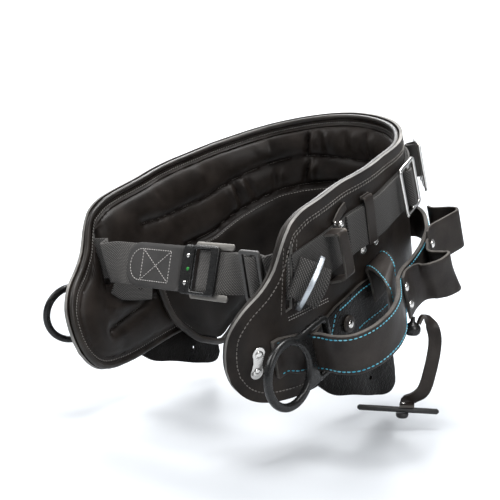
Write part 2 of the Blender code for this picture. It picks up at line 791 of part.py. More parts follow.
def make_rivet_plates(parent):
    """Two-rivet steel plates near the front ends of both wings."""
    for name, side in (("left", 1.0), ("right", -1.0)):
        foot = belt_point(side * 463 * MM, -81 * MM, SHELL_OUT)
        head = belt_point(side * 449 * MM, -47 * MM, SHELL_OUT)
        place = seat(side * 456 * MM, -64 * MM, SHELL_OUT + GAP + 1.0 * MM)
        rise = (place.inverted() @ head) - (place.inverted() @ foot)
        turn = Matrix.Rotation(-math.atan2(rise.x, rise.y), 4, "Z")
        tip = Matrix.Rotation(math.atan2(rise.z, rise.y), 4, "X")
        place = place @ turn @ tip
        outline = rounded(14 * MM, 33 * MM, 6.9 * MM)
        outline_plate("rivet_plate_" + name, "nickel", parent, outline, None, 1.6 * MM, place)
        for end, rise in (("upper", 9 * MM), ("lower", -9 * MM)):
            spot = place @ Matrix.Translation((0, rise, 0.8 * MM))
            rivet("plate_rivet_" + name + "_" + end, parent, spot, 4.2 * MM, 1.6 * MM)


def make_aprons(parent):
    """Leather tool aprons below the band: they reach past the body's lower edge."""
    columns = [value * MM for value in APRON_COLUMNS]
    rows = 5
    inside = SHELL_OUT + APRON_GAP
    for name, side in (("tool_apron_left", 1.0), ("tool_apron_right", -1.0)):
        def height(i, j, columns=columns):
            low = smooth(APRON_LOW, "along", "height", columns[i] / MM) * MM
            top = -60 * MM - 14 * MM * max(0.0, (columns[i] - 343 * MM) / (52 * MM))
            return low + (top - low) * j / (rows - 1)

        def outer(i, j, side=side):
            return belt_point(side * columns[i], height(i, j), inside + 3.5 * MM)

        def inner(i, j, side=side):
            return belt_point(side * columns[i], height(i, j), inside)

        apron = sheet(name, "strap_leather", parent, len(columns), rows, outer, inner)
        pierce(apron, parent, seat(side * 300 * MM, -172 * MM, inside), 2.6 * MM)


def pierce(target, parent, place, radius):
    """A punched hole: a round cutter taken out of the leather."""
    rows = [(0.0, -12 * MM), (radius, -12 * MM), (radius, 14 * MM), (0.0, 14 * MM)]
    cutter = turned(target.name + "_punch", "strap_leather", parent, rows, 10, place)
    cutter.hide_render = True
    cutter.display_type = "WIRE"
    cut = target.modifiers.new("punched hole", "BOOLEAN")
    cut.operation = "DIFFERENCE"
    cut.solver = "EXACT"
    cut.object = cutter


def make_band(parent):
    """The stitched tool band that stands off the left hip and carries the loops."""
    middle = BAND_TOP - BAND_HIGH / 2
    clear = SHELL_OUT + GAP + BAND_THICK / 2 + 0.4 * MM
    up = Vector((0.0, 0.0, 1.0))
    route = [belt_point(438 * MM, middle, clear), belt_point(427 * MM, middle, clear)]
    across = [rise(438 * MM, middle), rise(427 * MM, middle)]
    for x, y in BAND_ROUTE:
        route.append(Vector((x * MM, y * MM, middle)))
        across.append(up)
    route += [belt_point(98 * MM, middle, clear), belt_point(80 * MM, middle, clear)]
    across += [rise(90 * MM, middle)] * 2
    ribbon("tool_band", "strap_leather", parent, route, across, BAND_HIGH, BAND_THICK)


# Divider strap over the ring, in plan: across, back, height
DIVIDER = [(145.3, -5.4, -84), (144.6, -5.4, -61), (143.6, -5.4, -54), (142.4, -5.4, -48),
           (144.2, -5.8, -43.8), (151, -8.5, -43.6), (162, -16, -45.2), (171.5, -25.5, -47),
           (177, -32.5, -54), (177, -33, -84), (177, -33, -106)]

# Rear loops in plan: across, back; the strap leaves the band and returns to it
LOOP_FRONT = [(185.9, -25), (180.9, -6), (184, 10), (196, 17), (204, 27), (206, 40), (198, 46),
              (184, 46), (172, 55), (167, 65)]
LOOP_REAR = [(165.2, 70), (161, 86), (168, 112), (172, 128), (168, 135), (158, 136),
             (140, 132.5), (131, 137)]


def make_tool_straps(parent):
    up = Vector((0.0, 0.0, 1.0))
    route = [Vector((x * MM, y * MM, z * MM)) for x, y, z in DIVIDER]
    at_wing = Vector((0.084, 0.983, 0.16))
    at_band = Vector((-0.40, 0.915, 0.0))
    across = [at_wing.lerp(at_band, min(1.0, max(0.0, (i - 4) / 4))) for i in range(len(route))]
    wide = [value * MM for value in (30, 30, 30, 31, 31, 34, 39, 44, 47, 38, 6)]
    ribbon("divider_strap", "strap_leather", parent, route, across, wide, 3.2 * MM, skew=True)
    slant = Vector((0.0, -0.3, 1.0)).normalized()
    route = [Vector((x * MM, y * MM, -75 * MM)) for x, y in LOOP_FRONT]
    across = [up] + [up.lerp(slant, 0.5)] + [slant] * 6 + [up] * 2
    ribbon("tool_loop_front", "strap_leather", parent, route, across, 48 * MM, STRAP_THICK)
    route = [Vector((x * MM, y * MM, -68 * MM)) for x, y in LOOP_REAR]
    ribbon("tool_loop_rear", "strap_leather", parent, route, [up] * 8, 46 * MM, STRAP_THICK)
    spots = [("loop_rivet_upper", (187.7, -23.5, -62)), ("loop_rivet_lower", (186.7, -19.5, -84)),
             ("loop_rivet_rear", (165.8, 76, -62))]
    for name, (x, y, z) in spots:
        turn = Matrix.Rotation(math.radians(90), 4, "Y")
        place = Matrix.Translation((x * MM, y * MM, z * MM)) @ Matrix.Rotation(0.2, 4, "Z") @ turn
        rivet(name, parent, place, 4.2 * MM, 1.6 * MM)


# T-bar strap in the row frame, where it hangs plumb: across, back, height
TBAR_ROUTE = [(190, 22.3, -107.2), (193, 25, -99.5), (198, 28, -103), (203, 30.5, -114),
              (205, 30, -129), (203, 25, -154), (198.5, 18.5, -176)]
# Its foot on the bar: along the bar, toward the front, up
TBAR_FOOT = [(11, -6.5, 8.5), (9.5, -3.5, 5.2), (8.5, 1.0, 4.7), (8, 5.5, 4.7)]


def make_tbar():
    """The hanging T-bar strap, its knot and its bar."""
    middle = Vector((180 * MM, 0.6 * MM, -194.5 * MM))
    aim = Vector((0.777, 0.629, -0.06)).normalized()
    front = Vector((0.629, -0.777, 0.0))
    up = aim.cross(-front).normalized()
    if up.z < 0.0:
        up = -up
    route = [Vector((x * MM, y * MM, z * MM)) for x, y, z in TBAR_ROUTE]
    for x, y, z in TBAR_FOOT:
        route.append(middle + aim * x * MM + front * y * MM + up * z * MM)
    side = Vector((0.777, 0.629, 0.0))
    across = [front, front, (front - side) * 0.5, -side] + [-side] * (len(route) - 4)
    wide = [12 * MM] * 3 + [13.5 * MM] * 5 + [15 * MM] * 3
    ribbon("tbar_strap", "strap_leather", None, route, across, wide, 2.6 * MM)
    knot = Matrix.Translation((185 * MM, 19 * MM, -112.5 * MM))
    profile = [(0.0, -7 * MM), (6 * MM, -7 * MM), (8.5 * MM, -2 * MM), (8 * MM, 3 * MM),
               (4 * MM, 6.5 * MM), (2.4 * MM, 8 * MM), (2.4 * MM, 12.6 * MM), (0.0, 12.6 * MM)]
    turned("strap_knot", "black_metal", None, profile, 10, knot)
    ends = [middle - aim * 42 * MM, middle - aim * 40 * MM, middle + aim * 40 * MM,
            middle + aim * 42 * MM]
    tube("tbar", "black_metal", None, ends, 3.0 * MM, fine=2)
    head = middle + aim * 4.5 * MM
    place = Matrix.Translation(head + up * 6.5 * MM)
    rivet("tbar_rivet", None, place, 3.4 * MM, 1.4 * MM)
    under = Matrix.Translation(head - up * 3.3 * MM)
    profile = [(0.0, -5 * MM), (5 * MM, -5 * MM), (6.5 * MM, -3 * MM), (6.5 * MM, 0.0), (0.0, 0.0)]
    turned("tbar_washer", "black_metal", None, profile, 12, under)


# The zinc ring: a straight bar for the webbing, round corners and a round arm. Its bar lies at
# (along, height, out) on the belt and half of it is RING_HALF long.
RING_BAR = (378.2 * MM, -13.2 * MM, 14.8 * MM)
RING_HALF = 26.2 * MM
RING_CORNER = 6.0 * MM
RING_WIRE = 2.4 * MM
# Webbing over the ring's bar, from its axis: along the wing toward the front, out from the wing
FOLD_ROWS = [(21.0, -3.2), (20.6, 0.8), (14.0, 3.4), (5.5, 4.2), (-4.0, 4.2), (-12.0, 2.2),
             (-19.0, -1.4), (-24.0, -3.1)]
FOLD_WIDE = 38.0 * MM


def ring_outline():
    """Closed line of the ring's wire: toward the viewer and along the bar."""
    arm = RING_HALF - RING_CORNER
    points = []
    for sign in (1.0, -1.0):
        corner = []
        for k in range(4):
            angle = math.radians(180 - 30 * k)
            corner.append((RING_CORNER * (1.0 + math.cos(angle)),
                           sign * (arm + RING_CORNER * math.sin(angle))))
        if sign > 0.0:
            points += corner
            for k in range(1, 14):
                angle = math.radians(90 - 180 * k / 14)
                points.append((RING_CORNER + RING_HALF * math.cos(angle),
                               RING_HALF * math.sin(angle)))
        else:
            points += corner[::-1]
    return points


def make_accessory_ring(parent):
    """The zinc ring, edge-on to the photograph, and the webbing over its bar."""
    level = Matrix.Rotation(-PITCH, 3, "X")
    toward = level @ Vector((0.626, -0.773, 0.105)).normalized()
    hang = level @ Vector((-0.226, -0.404, -0.887))
    hang = (hang - toward * hang.dot(toward)).normalized()
    normal = toward.cross(hang).normalized()
    outward = toward * 0.666 + normal * 0.748
    forward = toward * 0.748 - normal * 0.666
    bar = belt_point(*RING_BAR)
    route = [bar + forward * x * MM + outward * y * MM for x, y in FOLD_ROWS]
    flat = (outward * -0.155 - hang).normalized()
    across = [flat, flat] + [-hang] * (len(route) - 4) + [flat, flat]
    ribbon("web_fold", "black_webbing", parent, route, across, FOLD_WIDE, WEB_THICK, skew=True)
    ring = [bar + toward * x - hang * y for x, y in ring_outline()]
    tube("accessory_ring", "zinc_steel", parent, ring, RING_WIRE, closed=True)


def make_side_fittings(parent):
    """What is sewn and riveted over the outer webbing on the wearer's left."""
    web = SHELL_OUT + 3.4 * GAP + WEB_THICK
    stations = both_sides([value for value in COLUMNS if value < 290] + [303])
    out = web + WEB_THICK / 2
    route = [belt_point(along, 0.0, out) for along in stations]
    across = [rise(along) for along in stations]
    ribbon("back_web", "black_webbing", parent, route, across, 43 * MM, WEB_THICK)
    make_accessory_ring(parent)
    hood = [(-0.3, 20), (13, 21.5), (16.5, 17.5), (18.5, -17), (15, -27), (-2.9, -33)]
    route = [belt_point(335 * MM, high * MM, web + rise * MM) for rise, high in hood]
    run = plan(335 * MM)[1]
    ribbon("hood_strap", "strap_leather", parent, route, [run] * 6, 14 * MM, STRAP_THICK)
    top = web + WEB_THICK + 2 * GAP + 0.9 * MM
    low = SHELL_OUT + 2 * GAP + 0.9 * MM
    keeper = [(36, low), (29, low), (24.5, top), (-22, top)]
    route = [belt_point(266 * MM, high * MM, rise) for high, rise in keeper]
    run = plan(266 * MM)[1]
    ribbon("keeper_strap", "strap_leather", parent, route, [run] * 4, 14 * MM, 1.6 * MM)
    for name, along in (("keeper_rivet_front", 276 * MM), ("keeper_rivet_rear", 254 * MM)):
        rivet(name, parent, seat(along, -27.2 * MM, SHELL_OUT), 4.2 * MM, 1.6 * MM)
    strip = [(323.5, 23.5, 2.5), (312, 29.5, 1.9), (297, 32, 0.5)]
    route = [belt_point(along * MM, high * MM, low + rise * MM) for along, high, rise in strip]
    across = [Vector((0.0, 0.5, 0.87))] * 3
    ribbon("stud_strip", "strap_leather", parent, route, across, 9 * MM, 1.8 * MM)
    stud = [(0.0, 0.0), (2.2 * MM, 0.0), (2.0 * MM, 2.5 * MM), (3.6 * MM, 4.5 * MM),
            (3.0 * MM, 7.5 * MM), (0.0, 8.6 * MM)]
    turned("stud", "nickel", parent, stud, 10, seat(323.5 * MM, 24 * MM, low + 3.8 * MM))
    patch = SHELL_OUT + APRON_GAP + 4.4 * MM
    profile = [(0.0, 0.0), (9 * MM, 0.0), (8 * MM, 2.4 * MM), (0.0, 2.4 * MM)]
    turned("rivet_washer", "strap_leather", parent, profile, 14, seat(329 * MM, -88 * MM, patch))
    rivet("washer_rivet", parent, seat(329 * MM, -88 * MM, patch + 2.4 * MM), 4.2 * MM, 1.8 * MM)


# Back buckles: place round the belt, distance out, half width, half height, and the bar that
# its webbing is folded round: place of the bar, half its width, and how far down the fold goes
BACK_BUCKLES = [
    {"name": "front", "along": 183, "out": 18.8, "half_wide": 23.0, "half_high": 28.0,
     "bar": 0.0, "bar_half": 3.0, "drop": 3.2},
    {"name": "rear", "along": 121, "out": 25.0, "half_wide": 20.0, "half_high": 30.0,
     "bar": 17.5, "bar_half": 2.5, "drop": 9.8},
]


def make_back_buckles(parent):
    """Sliders that stand off the back webbing, each held by a fold of webbing round one bar."""
    for row in BACK_BUCKLES:
        wide = row["half_wide"] * MM
        high = row["half_high"] * MM
        place = seat(row["along"] * MM, 3 * MM, row["out"] * MM)
        xs = [-wide, -wide + 5 * MM, -3 * MM, 3 * MM, wide - 5 * MM, wide]
        ys = [-high, -high + 4.5 * MM, high - 4.5 * MM, high]
        windows = {(1, 1), (3, 1)}
        name = "back_buckle_" + row["name"]
        cell_plate(name, "nickel", parent, xs, ys, windows, 3 * MM, 2.5 * MM, place)
        half = row["bar_half"] + 1.6
        fold = [(-half + 0.8, 3.2), (half - 0.8, 3.2), (half + 0.9, 0.0),
                (half - 0.8, -row["drop"]), (-half + 0.8, -row["drop"]), (-half - 0.9, 0.0)]
        route = [place @ Vector(((row["bar"] + x) * MM, 0.0, z * MM)) for x, z in fold]
        up = [place.to_3x3() @ Vector((0.0, 1.0, 0.0))] * len(fold)
        name = "buckle_web_" + row["name"]
        ribbon(name, "black_webbing", parent, route, up, 40 * MM, WEB_THICK, closed=True)


def main():
    clear_scene()
    tilt = bpy.data.objects.new("belt_tilt", None)
    bpy.context.scene.collection.objects.link(tilt)
    tilt.rotation_euler = (PITCH, 0.0, 0.0)
    make_shell(tilt)
    make_binding(tilt)
    make_lining(tilt)
    make_inner_pad(tilt)
    make_outer_web(tilt)
    make_front_webs(tilt)
    make_front_hardware(tilt)
    make_pad_strap(tilt)
    make_dees(tilt)
    make_rivet_plates(tilt)
    make_aprons(tilt)
    make_band(tilt)
    make_tool_straps(tilt)
    make_tbar()
    make_side_fittings(tilt)
    make_back_buckles(tilt)


main()
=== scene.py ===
# %% [markdown]
# # Lineman belt
# A lineman's body belt is a wide band of stiff leather, lined with a padded
# garment leather and closed at the front by webbing and a two-part buckle.
# Forged dees hang from both wings, and tool loops stand off the hip.
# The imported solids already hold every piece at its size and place. This lesson
# dresses them: it bends finer meshes over them and gives each one its finish.
# Lengths are written in millimetres, and MM turns them into metres, either where
# they stand or inside the function that takes them.

# %% Load the frame
import bisect
import math

import bpy
import numpy as np
from mathutils import Matrix, Vector, noise


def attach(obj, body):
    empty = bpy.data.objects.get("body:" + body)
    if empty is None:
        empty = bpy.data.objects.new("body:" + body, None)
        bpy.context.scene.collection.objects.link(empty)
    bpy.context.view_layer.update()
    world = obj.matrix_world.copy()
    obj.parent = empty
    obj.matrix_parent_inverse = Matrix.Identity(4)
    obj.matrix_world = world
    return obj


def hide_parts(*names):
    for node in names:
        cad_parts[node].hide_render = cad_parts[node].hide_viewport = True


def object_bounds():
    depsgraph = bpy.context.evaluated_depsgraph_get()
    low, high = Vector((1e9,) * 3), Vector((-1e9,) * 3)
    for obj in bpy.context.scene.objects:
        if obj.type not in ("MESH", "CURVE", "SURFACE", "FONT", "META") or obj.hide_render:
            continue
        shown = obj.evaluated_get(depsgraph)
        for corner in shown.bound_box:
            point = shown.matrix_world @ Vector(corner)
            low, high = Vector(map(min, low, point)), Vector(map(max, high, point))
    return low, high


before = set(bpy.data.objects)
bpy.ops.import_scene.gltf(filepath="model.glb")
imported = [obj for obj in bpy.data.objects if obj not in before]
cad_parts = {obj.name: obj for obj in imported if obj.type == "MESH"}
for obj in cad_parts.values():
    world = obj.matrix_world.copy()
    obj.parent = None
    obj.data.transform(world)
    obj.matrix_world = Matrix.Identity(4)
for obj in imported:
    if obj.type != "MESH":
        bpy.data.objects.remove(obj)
cad_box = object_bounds()
MM = 0.001
print("nodes in the frame:", len(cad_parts))

# %% [markdown]
# ## Camera
# The photograph looks down a little from the wearer's left front. The camera's
# place and lens were found by matching points of the belt with the photograph.
# A long lens keeps the near wing and the far wing almost the same size.

# %% Camera
def look_from(place, target):
    """Turn that points a camera or lamp at the target."""
    return (Vector(target) - Vector(place)).to_track_quat("-Z", "Y").to_euler()


eye = (0.6819, -0.8611, 0.0739)
aim = (-0.0066, -0.0109, -0.0411)
bpy.ops.object.camera_add(location=eye, rotation=look_from(eye, aim))
camera = bpy.context.object
camera.data.lens = 70.56
camera.data.sensor_width = 36.0
camera.data.dof.use_dof = False
bpy.context.scene.camera = camera
print("camera is", round((Vector(eye) - Vector(aim)).length, 3), "m from the belt")

# %% [markdown]
# ## Floor and light
# The belt hangs just above a pale sheet that curves up behind it, so that no
# horizon shows. The sheet starts as a grid, and its far rows are lifted along a
# quarter circle. A flat plane and a wall would need a bevel where they meet, and
# one bent grid needs none. One softbox hangs over the belt and one stands on each
# side of it. A fourth lamp is turned to the sheet, which keeps it almost white.

# %% Floor
FLOOR_AT = cad_box[0][2] - 0.013
SHEET_SIZE, SHEET_NEAR = 9.0, 3.0
BEND_AT, BEND_RADIUS = 2.2, 1.2
bpy.ops.mesh.primitive_grid_add(x_subdivisions=4, y_subdivisions=60, size=1.0)
floor = bpy.context.object
floor.name = "studio_floor"
away = (Vector(aim) - Vector(eye)).to_2d().normalized()
for vert in floor.data.vertices:
    side, back = vert.co.x * SHEET_SIZE, (vert.co.y + 0.5) * SHEET_SIZE - SHEET_NEAR
    bend = max(0.0, back - BEND_AT)
    angle = min(bend / BEND_RADIUS, math.pi / 2)
    flat = min(back, BEND_AT) + BEND_RADIUS * math.sin(angle)
    high = BEND_RADIUS * (1.0 - math.cos(angle)) + max(0.0, bend - BEND_RADIUS * math.pi / 2)
    spot = away * flat + Vector((-away.y, away.x)) * side
    vert.co = (spot.x, spot.y, FLOOR_AT + high)
bpy.ops.object.shade_smooth()
pale = bpy.data.materials.new("pale_paper")
pale.use_nodes = True
paper = pale.node_tree.nodes["Principled BSDF"]
paper.inputs["Base Color"].default_value = (0.49, 0.508, 0.53, 1.0)
paper.inputs["Roughness"].default_value = 0.32
floor.data.materials.append(pale)
print("floor at", round(FLOOR_AT, 4))

# %% Light
world = bpy.context.scene.world or bpy.data.worlds.new("studio")
bpy.context.scene.world = world
world.use_nodes = True
world.node_tree.nodes["Background"].inputs["Color"].default_value = (0.93, 0.96, 1.0, 1.0)
world.node_tree.nodes["Background"].inputs["Strength"].default_value = 0.30
bpy.context.scene.view_settings.view_transform = "Standard"


def softbox(name, place, target, size, watts):
    """A rectangular lamp at a place, turned to its target."""
    bpy.ops.object.light_add(type="AREA", location=place, rotation=look_from(place, target))
    lamp = bpy.context.object
    lamp.name = name
    lamp.data.shape = "RECTANGLE"
    lamp.data.size, lamp.data.size_y = size
    lamp.data.energy = watts
    return lamp


softbox("softbox_top", (0.12, 0.0, 1.5), (0.0, 0.0, 0.0), (0.9, 0.9), 38.0)
softbox("softbox_left", (-1.2, -1.2, 1.2), (0.0, 0.0, -0.05), (0.5, 0.9), 18.0)
softbox("softbox_right", (1.6, -0.7, 0.9), (0.1, 0.0, -0.05), (0.5, 1.2), 17.0)
softbox("paper_light", (-1.2, 1.6, 2.2), (-1.4, 2.6, 0.2), (2.5, 1.6), 210.0)

# %% [markdown]
# ## Shared effects
# Leather, webbing and metal each need a few effects that return on many
# pieces: grain, edges that are partly worn and partly lit by a painted highlight,
# a weave whose dips take painted shade, and scuffs. Each is one node group, built
# once, with its own named inputs, and every material sets its own values.

# %% A small helper for node trees
def node(tree, kind, place=(0, 0), dials=None, **settings):
    """Add a node at its place in the editor; set its attributes and then its inputs."""
    made = tree.nodes.new(kind)
    made.location = place
    for key, value in settings.items():
        setattr(made, key, value)
    for key, value in (dials or {}).items():
        made.inputs[key].default_value = value
    return made


def feed(tree, source, target, output=0, into=0):
    """Link an output of one node with an input of another, each by name or number."""
    tree.links.new(source.outputs[output], target.inputs[into])


def sums(tree, operation, first, second, place=(0, 0)):
    """A Math node; each side is a number or a (node, output) pair."""
    made = node(tree, "ShaderNodeMath", place, operation=operation)
    for index, value in enumerate((first, second)):
        if isinstance(value, tuple):
            tree.links.new(value[0].outputs[value[1]], made.inputs[index])
        elif value is not None:
            made.inputs[index].default_value = value
    return made


def new_group(name, inputs, outputs):
    """A shader group with named sockets; inputs hold (name, kind, value)."""
    group = bpy.data.node_groups.new(name, "ShaderNodeTree")
    for label, kind, value in inputs:
        made = group.interface.new_socket(name=label, in_out="INPUT", socket_type=kind)
        if value is not None:
            made.default_value = value
    for label in outputs:
        group.interface.new_socket(name=label, in_out="OUTPUT", socket_type="NodeSocketFloat")
    start = node(group, "NodeGroupInput", (-900, 0))
    end = node(group, "NodeGroupOutput", (700, 0))
    return group, start, end


print("node helpers are ready")

# %% Grain of leather
def build_grain():
    """Small cells and pores as a height, and wide cloudy patches for the tone."""
    sockets = [("Vector", "NodeSocketVector", None), ("Scale", "NodeSocketFloat", 900.0)]
    group, start, end = new_group("leather_grain", sockets, ["Height", "Patches"])
    cells = node(group, "ShaderNodeTexVoronoi", (-600, 200), {"Smoothness": 0.35}, feature="SMOOTH_F1")
    feed(group, start, cells, "Vector", "Vector")
    feed(group, start, cells, "Scale", "Scale")
    pores = node(group, "ShaderNodeTexNoise", (-600, -100), {"Detail": 5.0})
    wide = sums(group, "MULTIPLY", (start, "Scale"), 0.25, (-800, -100))
    feed(group, start, pores, "Vector", "Vector")
    feed(group, wide, pores, 0, "Scale")
    tall = sums(group, "MULTIPLY", (cells, "Distance"), 0.55, (-300, 200))
    low = sums(group, "MULTIPLY", (pores, 0), 0.9, (-300, -100))
    both = sums(group, "ADD", (tall, 0), (low, 0), (-100, 100))
    feed(group, both, end, 0, "Height")
    hide = node(group, "ShaderNodeTexNoise", (-600, -400),
                {"Scale": 26.0, "Detail": 6.0, "Roughness": 0.62})
    feed(group, start, hide, "Vector", "Vector")
    spread = node(group, "ShaderNodeMapRange", (-300, -400), {"From Min": 0.34, "From Max": 0.68})
    feed(group, hide, spread, 0, "Value")
    feed(group, spread, end, 0, "Patches")
    return group


grain_group = build_grain()
print(grain_group.name, "gives", [item.name for item in grain_group.interface.items_tree])

# %% Worn edges and painted edge highlights
def build_wear_and_highlight():
    """A broken mask on sharp outer edges, where handling rubs the colour off and where a highlight is
    painted.
    """
    sockets = [("Vector", "NodeSocketVector", None), ("Start", "NodeSocketFloat", 0.53),
               ("End", "NodeSocketFloat", 0.62)]
    group, start, end = new_group("edge_wear_and_highlight", sockets, ["Mask"])
    shape = node(group, "ShaderNodeNewGeometry", (-700, 200))
    ramp = node(group, "ShaderNodeMapRange", (-450, 200))
    feed(group, shape, ramp, "Pointiness", "Value")
    feed(group, start, ramp, "Start", "From Min")
    feed(group, start, ramp, "End", "From Max")
    rub_and_highlight = node(group, "ShaderNodeTexNoise", (-700, -150), {"Scale": 140.0, "Detail": 4.0})
    feed(group, start, rub_and_highlight, "Vector", "Vector")
    gaps = node(group, "ShaderNodeMapRange", (-450, -150), {"From Min": 0.36, "From Max": 0.60})
    feed(group, rub_and_highlight, gaps, 0, "Value")
    mask = sums(group, "MULTIPLY", (ramp, 0), (gaps, 0), (-150, 50))
    feed(group, mask, end, 0, "Mask")
    return group


wear_and_highlight_group = build_wear_and_highlight()
print(wear_and_highlight_group.name, "is ready")

# %% Weave of webbing
def build_weave():
    """Ribs run along the strap and the crossing threads dip between them."""
    sockets = [("Vector", "NodeSocketVector", None), ("Along", "NodeSocketFloat", 2200.0),
               ("Across", "NodeSocketFloat", 2600.0)]
    group, start, end = new_group("webbing_weave", sockets, ["Height", "Threads"])
    parts = node(group, "ShaderNodeSeparateXYZ", (-700, 100))
    feed(group, start, parts, "Vector", 0)
    along = sums(group, "MULTIPLY", (parts, "X"), (start, "Along"), (-500, 200))
    across = sums(group, "MULTIPLY", (parts, "Y"), (start, "Across"), (-500, -50))
    lean = sums(group, "ADD", (along, 0), (across, 0), (-300, 250))
    twill = sums(group, "SINE", (lean, 0), None, (-100, 250))
    rib = sums(group, "SINE", (across, 0), None, (-100, -50))
    rounded = sums(group, "ABSOLUTE", (rib, 0), None, (50, -50))
    both = sums(group, "MULTIPLY_ADD", (twill, 0), 0.5, (200, 150))
    both.inputs[2].default_value = 0.5
    mixed = sums(group, "MULTIPLY", (both, 0), (rounded, 0), (400, 100))
    feed(group, mixed, end, 0, "Height")
    fuzz = node(group, "ShaderNodeTexNoise", (0, -300), {"Scale": 260.0, "Detail": 3.0})
    feed(group, start, fuzz, "Vector", "Vector")
    threads = sums(group, "MULTIPLY", (mixed, 0), (fuzz, 0), (550, -150))
    feed(group, threads, end, 0, "Threads")
    return group


weave_group = build_weave()
print(weave_group.name, "is ready")

# %% Scuffs on metal
def build_scuffs():
    """Fine drawn lines as marks, and a cast surface as a height."""
    sockets = [("Vector", "NodeSocketVector", None), ("Scale", "NodeSocketFloat", 220.0)]
    group, start, end = new_group("metal_scuffs", sockets, ["Marks", "Height"])
    cast = node(group, "ShaderNodeTexNoise", (-600, 200), {"Detail": 6.0})
    feed(group, start, cast, "Vector", "Vector")
    feed(group, start, cast, "Scale", "Scale")
    stretch = node(group, "ShaderNodeMapping", (-800, -150), {"Scale": (1.0, 1.0, 14.0)})
    feed(group, start, stretch, "Vector", "Vector")
    lines = node(group, "ShaderNodeTexNoise", (-600, -150), {"Scale": 90.0, "Detail": 2.0})
    feed(group, stretch, lines, 0, "Vector")
    marks = node(group, "ShaderNodeMapRange", (-300, -150), {"From Min": 0.45, "From Max": 0.72})
    feed(group, lines, marks, 0, "Value")
    feed(group, marks, end, 0, "Marks")
    feed(group, cast, end, 0, "Height")
    return group


scuff_group = build_scuffs()
print(scuff_group.name, "is ready")

# %% [markdown]
# ## Finishes
# Every leather on the belt is near black, but each differs: the body is
# smooth and firm, the lining is soft garment leather with a low sheen, the
# straps are drier and greyer, and a cut edge shows the paler inside of the hide.
# Pictures of hides would do too, but a procedural finish needs no file and has no
# seams. Each call gives a dark, a light and a worn tone, the lowest and highest
# roughness, the scale and depth of the grain, where wear starts and ends, and
# how strongly the surface mirrors. The worn tone lies on sharp edges, and it is
# partly rubbed wear and partly a painted highlight.

# %% What all finishes share
def new_finish(name):
    """A new material, its node tree and its shader."""
    made = bpy.data.materials.new(name)
    made.use_nodes = True
    return made, made.node_tree, made.node_tree.nodes["Principled BSDF"]


def mix_colour(tree, first, second, mask, at):
    """Mix two colours by a mask; a colour may be a value or a node's output."""
    made = node(tree, "ShaderNodeMix", at, data_type="RGBA")
    for index, value in ((6, first), (7, second)):
        if isinstance(value[0], bpy.types.Node):
            tree.links.new(value[0].outputs[value[1]], made.inputs[index])
        else:
            made.inputs[index].default_value = (*value, 1.0)
    tree.links.new(mask[0].outputs[mask[1]], made.inputs[0])
    return made


def roughen(tree, source, output, shader, rough):
    """A mask chooses between the lowest and the highest roughness."""
    ramp = node(tree, "ShaderNodeMapRange", (-500, -100), {"To Min": rough[0], "To Max": rough[1]})
    feed(tree, source, ramp, output, "Value")
    feed(tree, ramp, shader, 0, "Roughness")


def emboss(tree, source, shader, strength, depth):
    """A height goes through a Bump node into the shader."""
    bump = node(tree, "ShaderNodeBump", (-300, -250), {"Strength": strength, "Distance": depth})
    feed(tree, source, bump, "Height", "Height")
    feed(tree, bump, shader, 0, "Normal")


print("finishes can mix tones, roughness and height")

# %% Leathers
def leather(name, dark, light, worn_and_lit, rough, scale, depth, rub_and_highlight=(0.53, 0.62), gloss=0.5):
    """A leather finish: patches of two tones, edges lighter from wear and from a painted highlight, pores
    and a soft gloss.
    """
    made, tree, shader = new_finish(name)
    space = node(tree, "ShaderNodeTexCoord", (-1200, 0))
    grain = node(tree, "ShaderNodeGroup", (-900, 100), {"Scale": scale}, node_tree=grain_group)
    wear_and_highlight = node(tree, "ShaderNodeGroup", (-900, -200), {"Start": rub_and_highlight[0], "End": rub_and_highlight[1]},
                node_tree=wear_and_highlight_group)
    feed(tree, space, grain, "Object", "Vector")
    feed(tree, space, wear_and_highlight, "Object", "Vector")
    tone = mix_colour(tree, dark, light, (grain, "Patches"), (-500, 200))
    # Sharp edges take the worn tone: partly rubbed wear, partly a painted highlight.
    colour = mix_colour(tree, (tone, 2), worn_and_lit, (wear_and_highlight, "Mask"), (-300, 200))
    feed(tree, colour, shader, 2, "Base Color")
    roughen(tree, grain, "Patches", shader, rough)
    emboss(tree, grain, shader, 0.6, depth)
    shader.inputs["Specular IOR Level"].default_value = gloss
    return made


FINISH = {}
# Each leather's third tone lies on its sharp edges: partly wear, partly a painted highlight.
FINISH["shell"] = leather("shell_leather", (0.0085, 0.0064, 0.0053), (0.026, 0.0205, 0.017),
                          (0.11, 0.092, 0.075), (0.38, 0.60), 1000.0, 0.00020, (0.56, 0.66), 0.20)
FINISH["edge"] = leather("cut_edge", (0.075, 0.071, 0.066), (0.27, 0.26, 0.245),
                         (0.30, 0.285, 0.27), (0.65, 0.85), 1500.0, 0.0003, (0.55, 0.7), 0.3)
FINISH["binding"] = leather("binding_leather", (0.010, 0.0085, 0.0075), (0.030, 0.025, 0.021),
                            (0.12, 0.10, 0.08), (0.30, 0.48), 1300.0, 0.00016, (0.6, 0.75), 0.30)
FINISH["lining"] = leather("lining_leather", (0.0085, 0.0066, 0.0056), (0.020, 0.0155, 0.013),
                           (0.075, 0.062, 0.050), (0.34, 0.56), 1500.0, 0.00018, (0.57, 0.68), 0.15)
FINISH["strap"] = leather("strap_leather", (0.016, 0.0125, 0.011), (0.039, 0.033, 0.029),
                          (0.15, 0.13, 0.11), (0.36, 0.56), 1200.0, 0.00018, (0.53, 0.62), 0.20)
# The aprons' leather is dark and glossy; its tones are darker still as painted shade of the pocket under
# the tool band.
FINISH["gloss"] = leather("pebbled_leather_with_painted_shade", (0.0024, 0.0019, 0.0016), (0.0065, 0.0053, 0.0044),
                          (0.10, 0.085, 0.068), (0.26, 0.44), 520.0, 0.0010, (0.56, 0.66), 0.07)
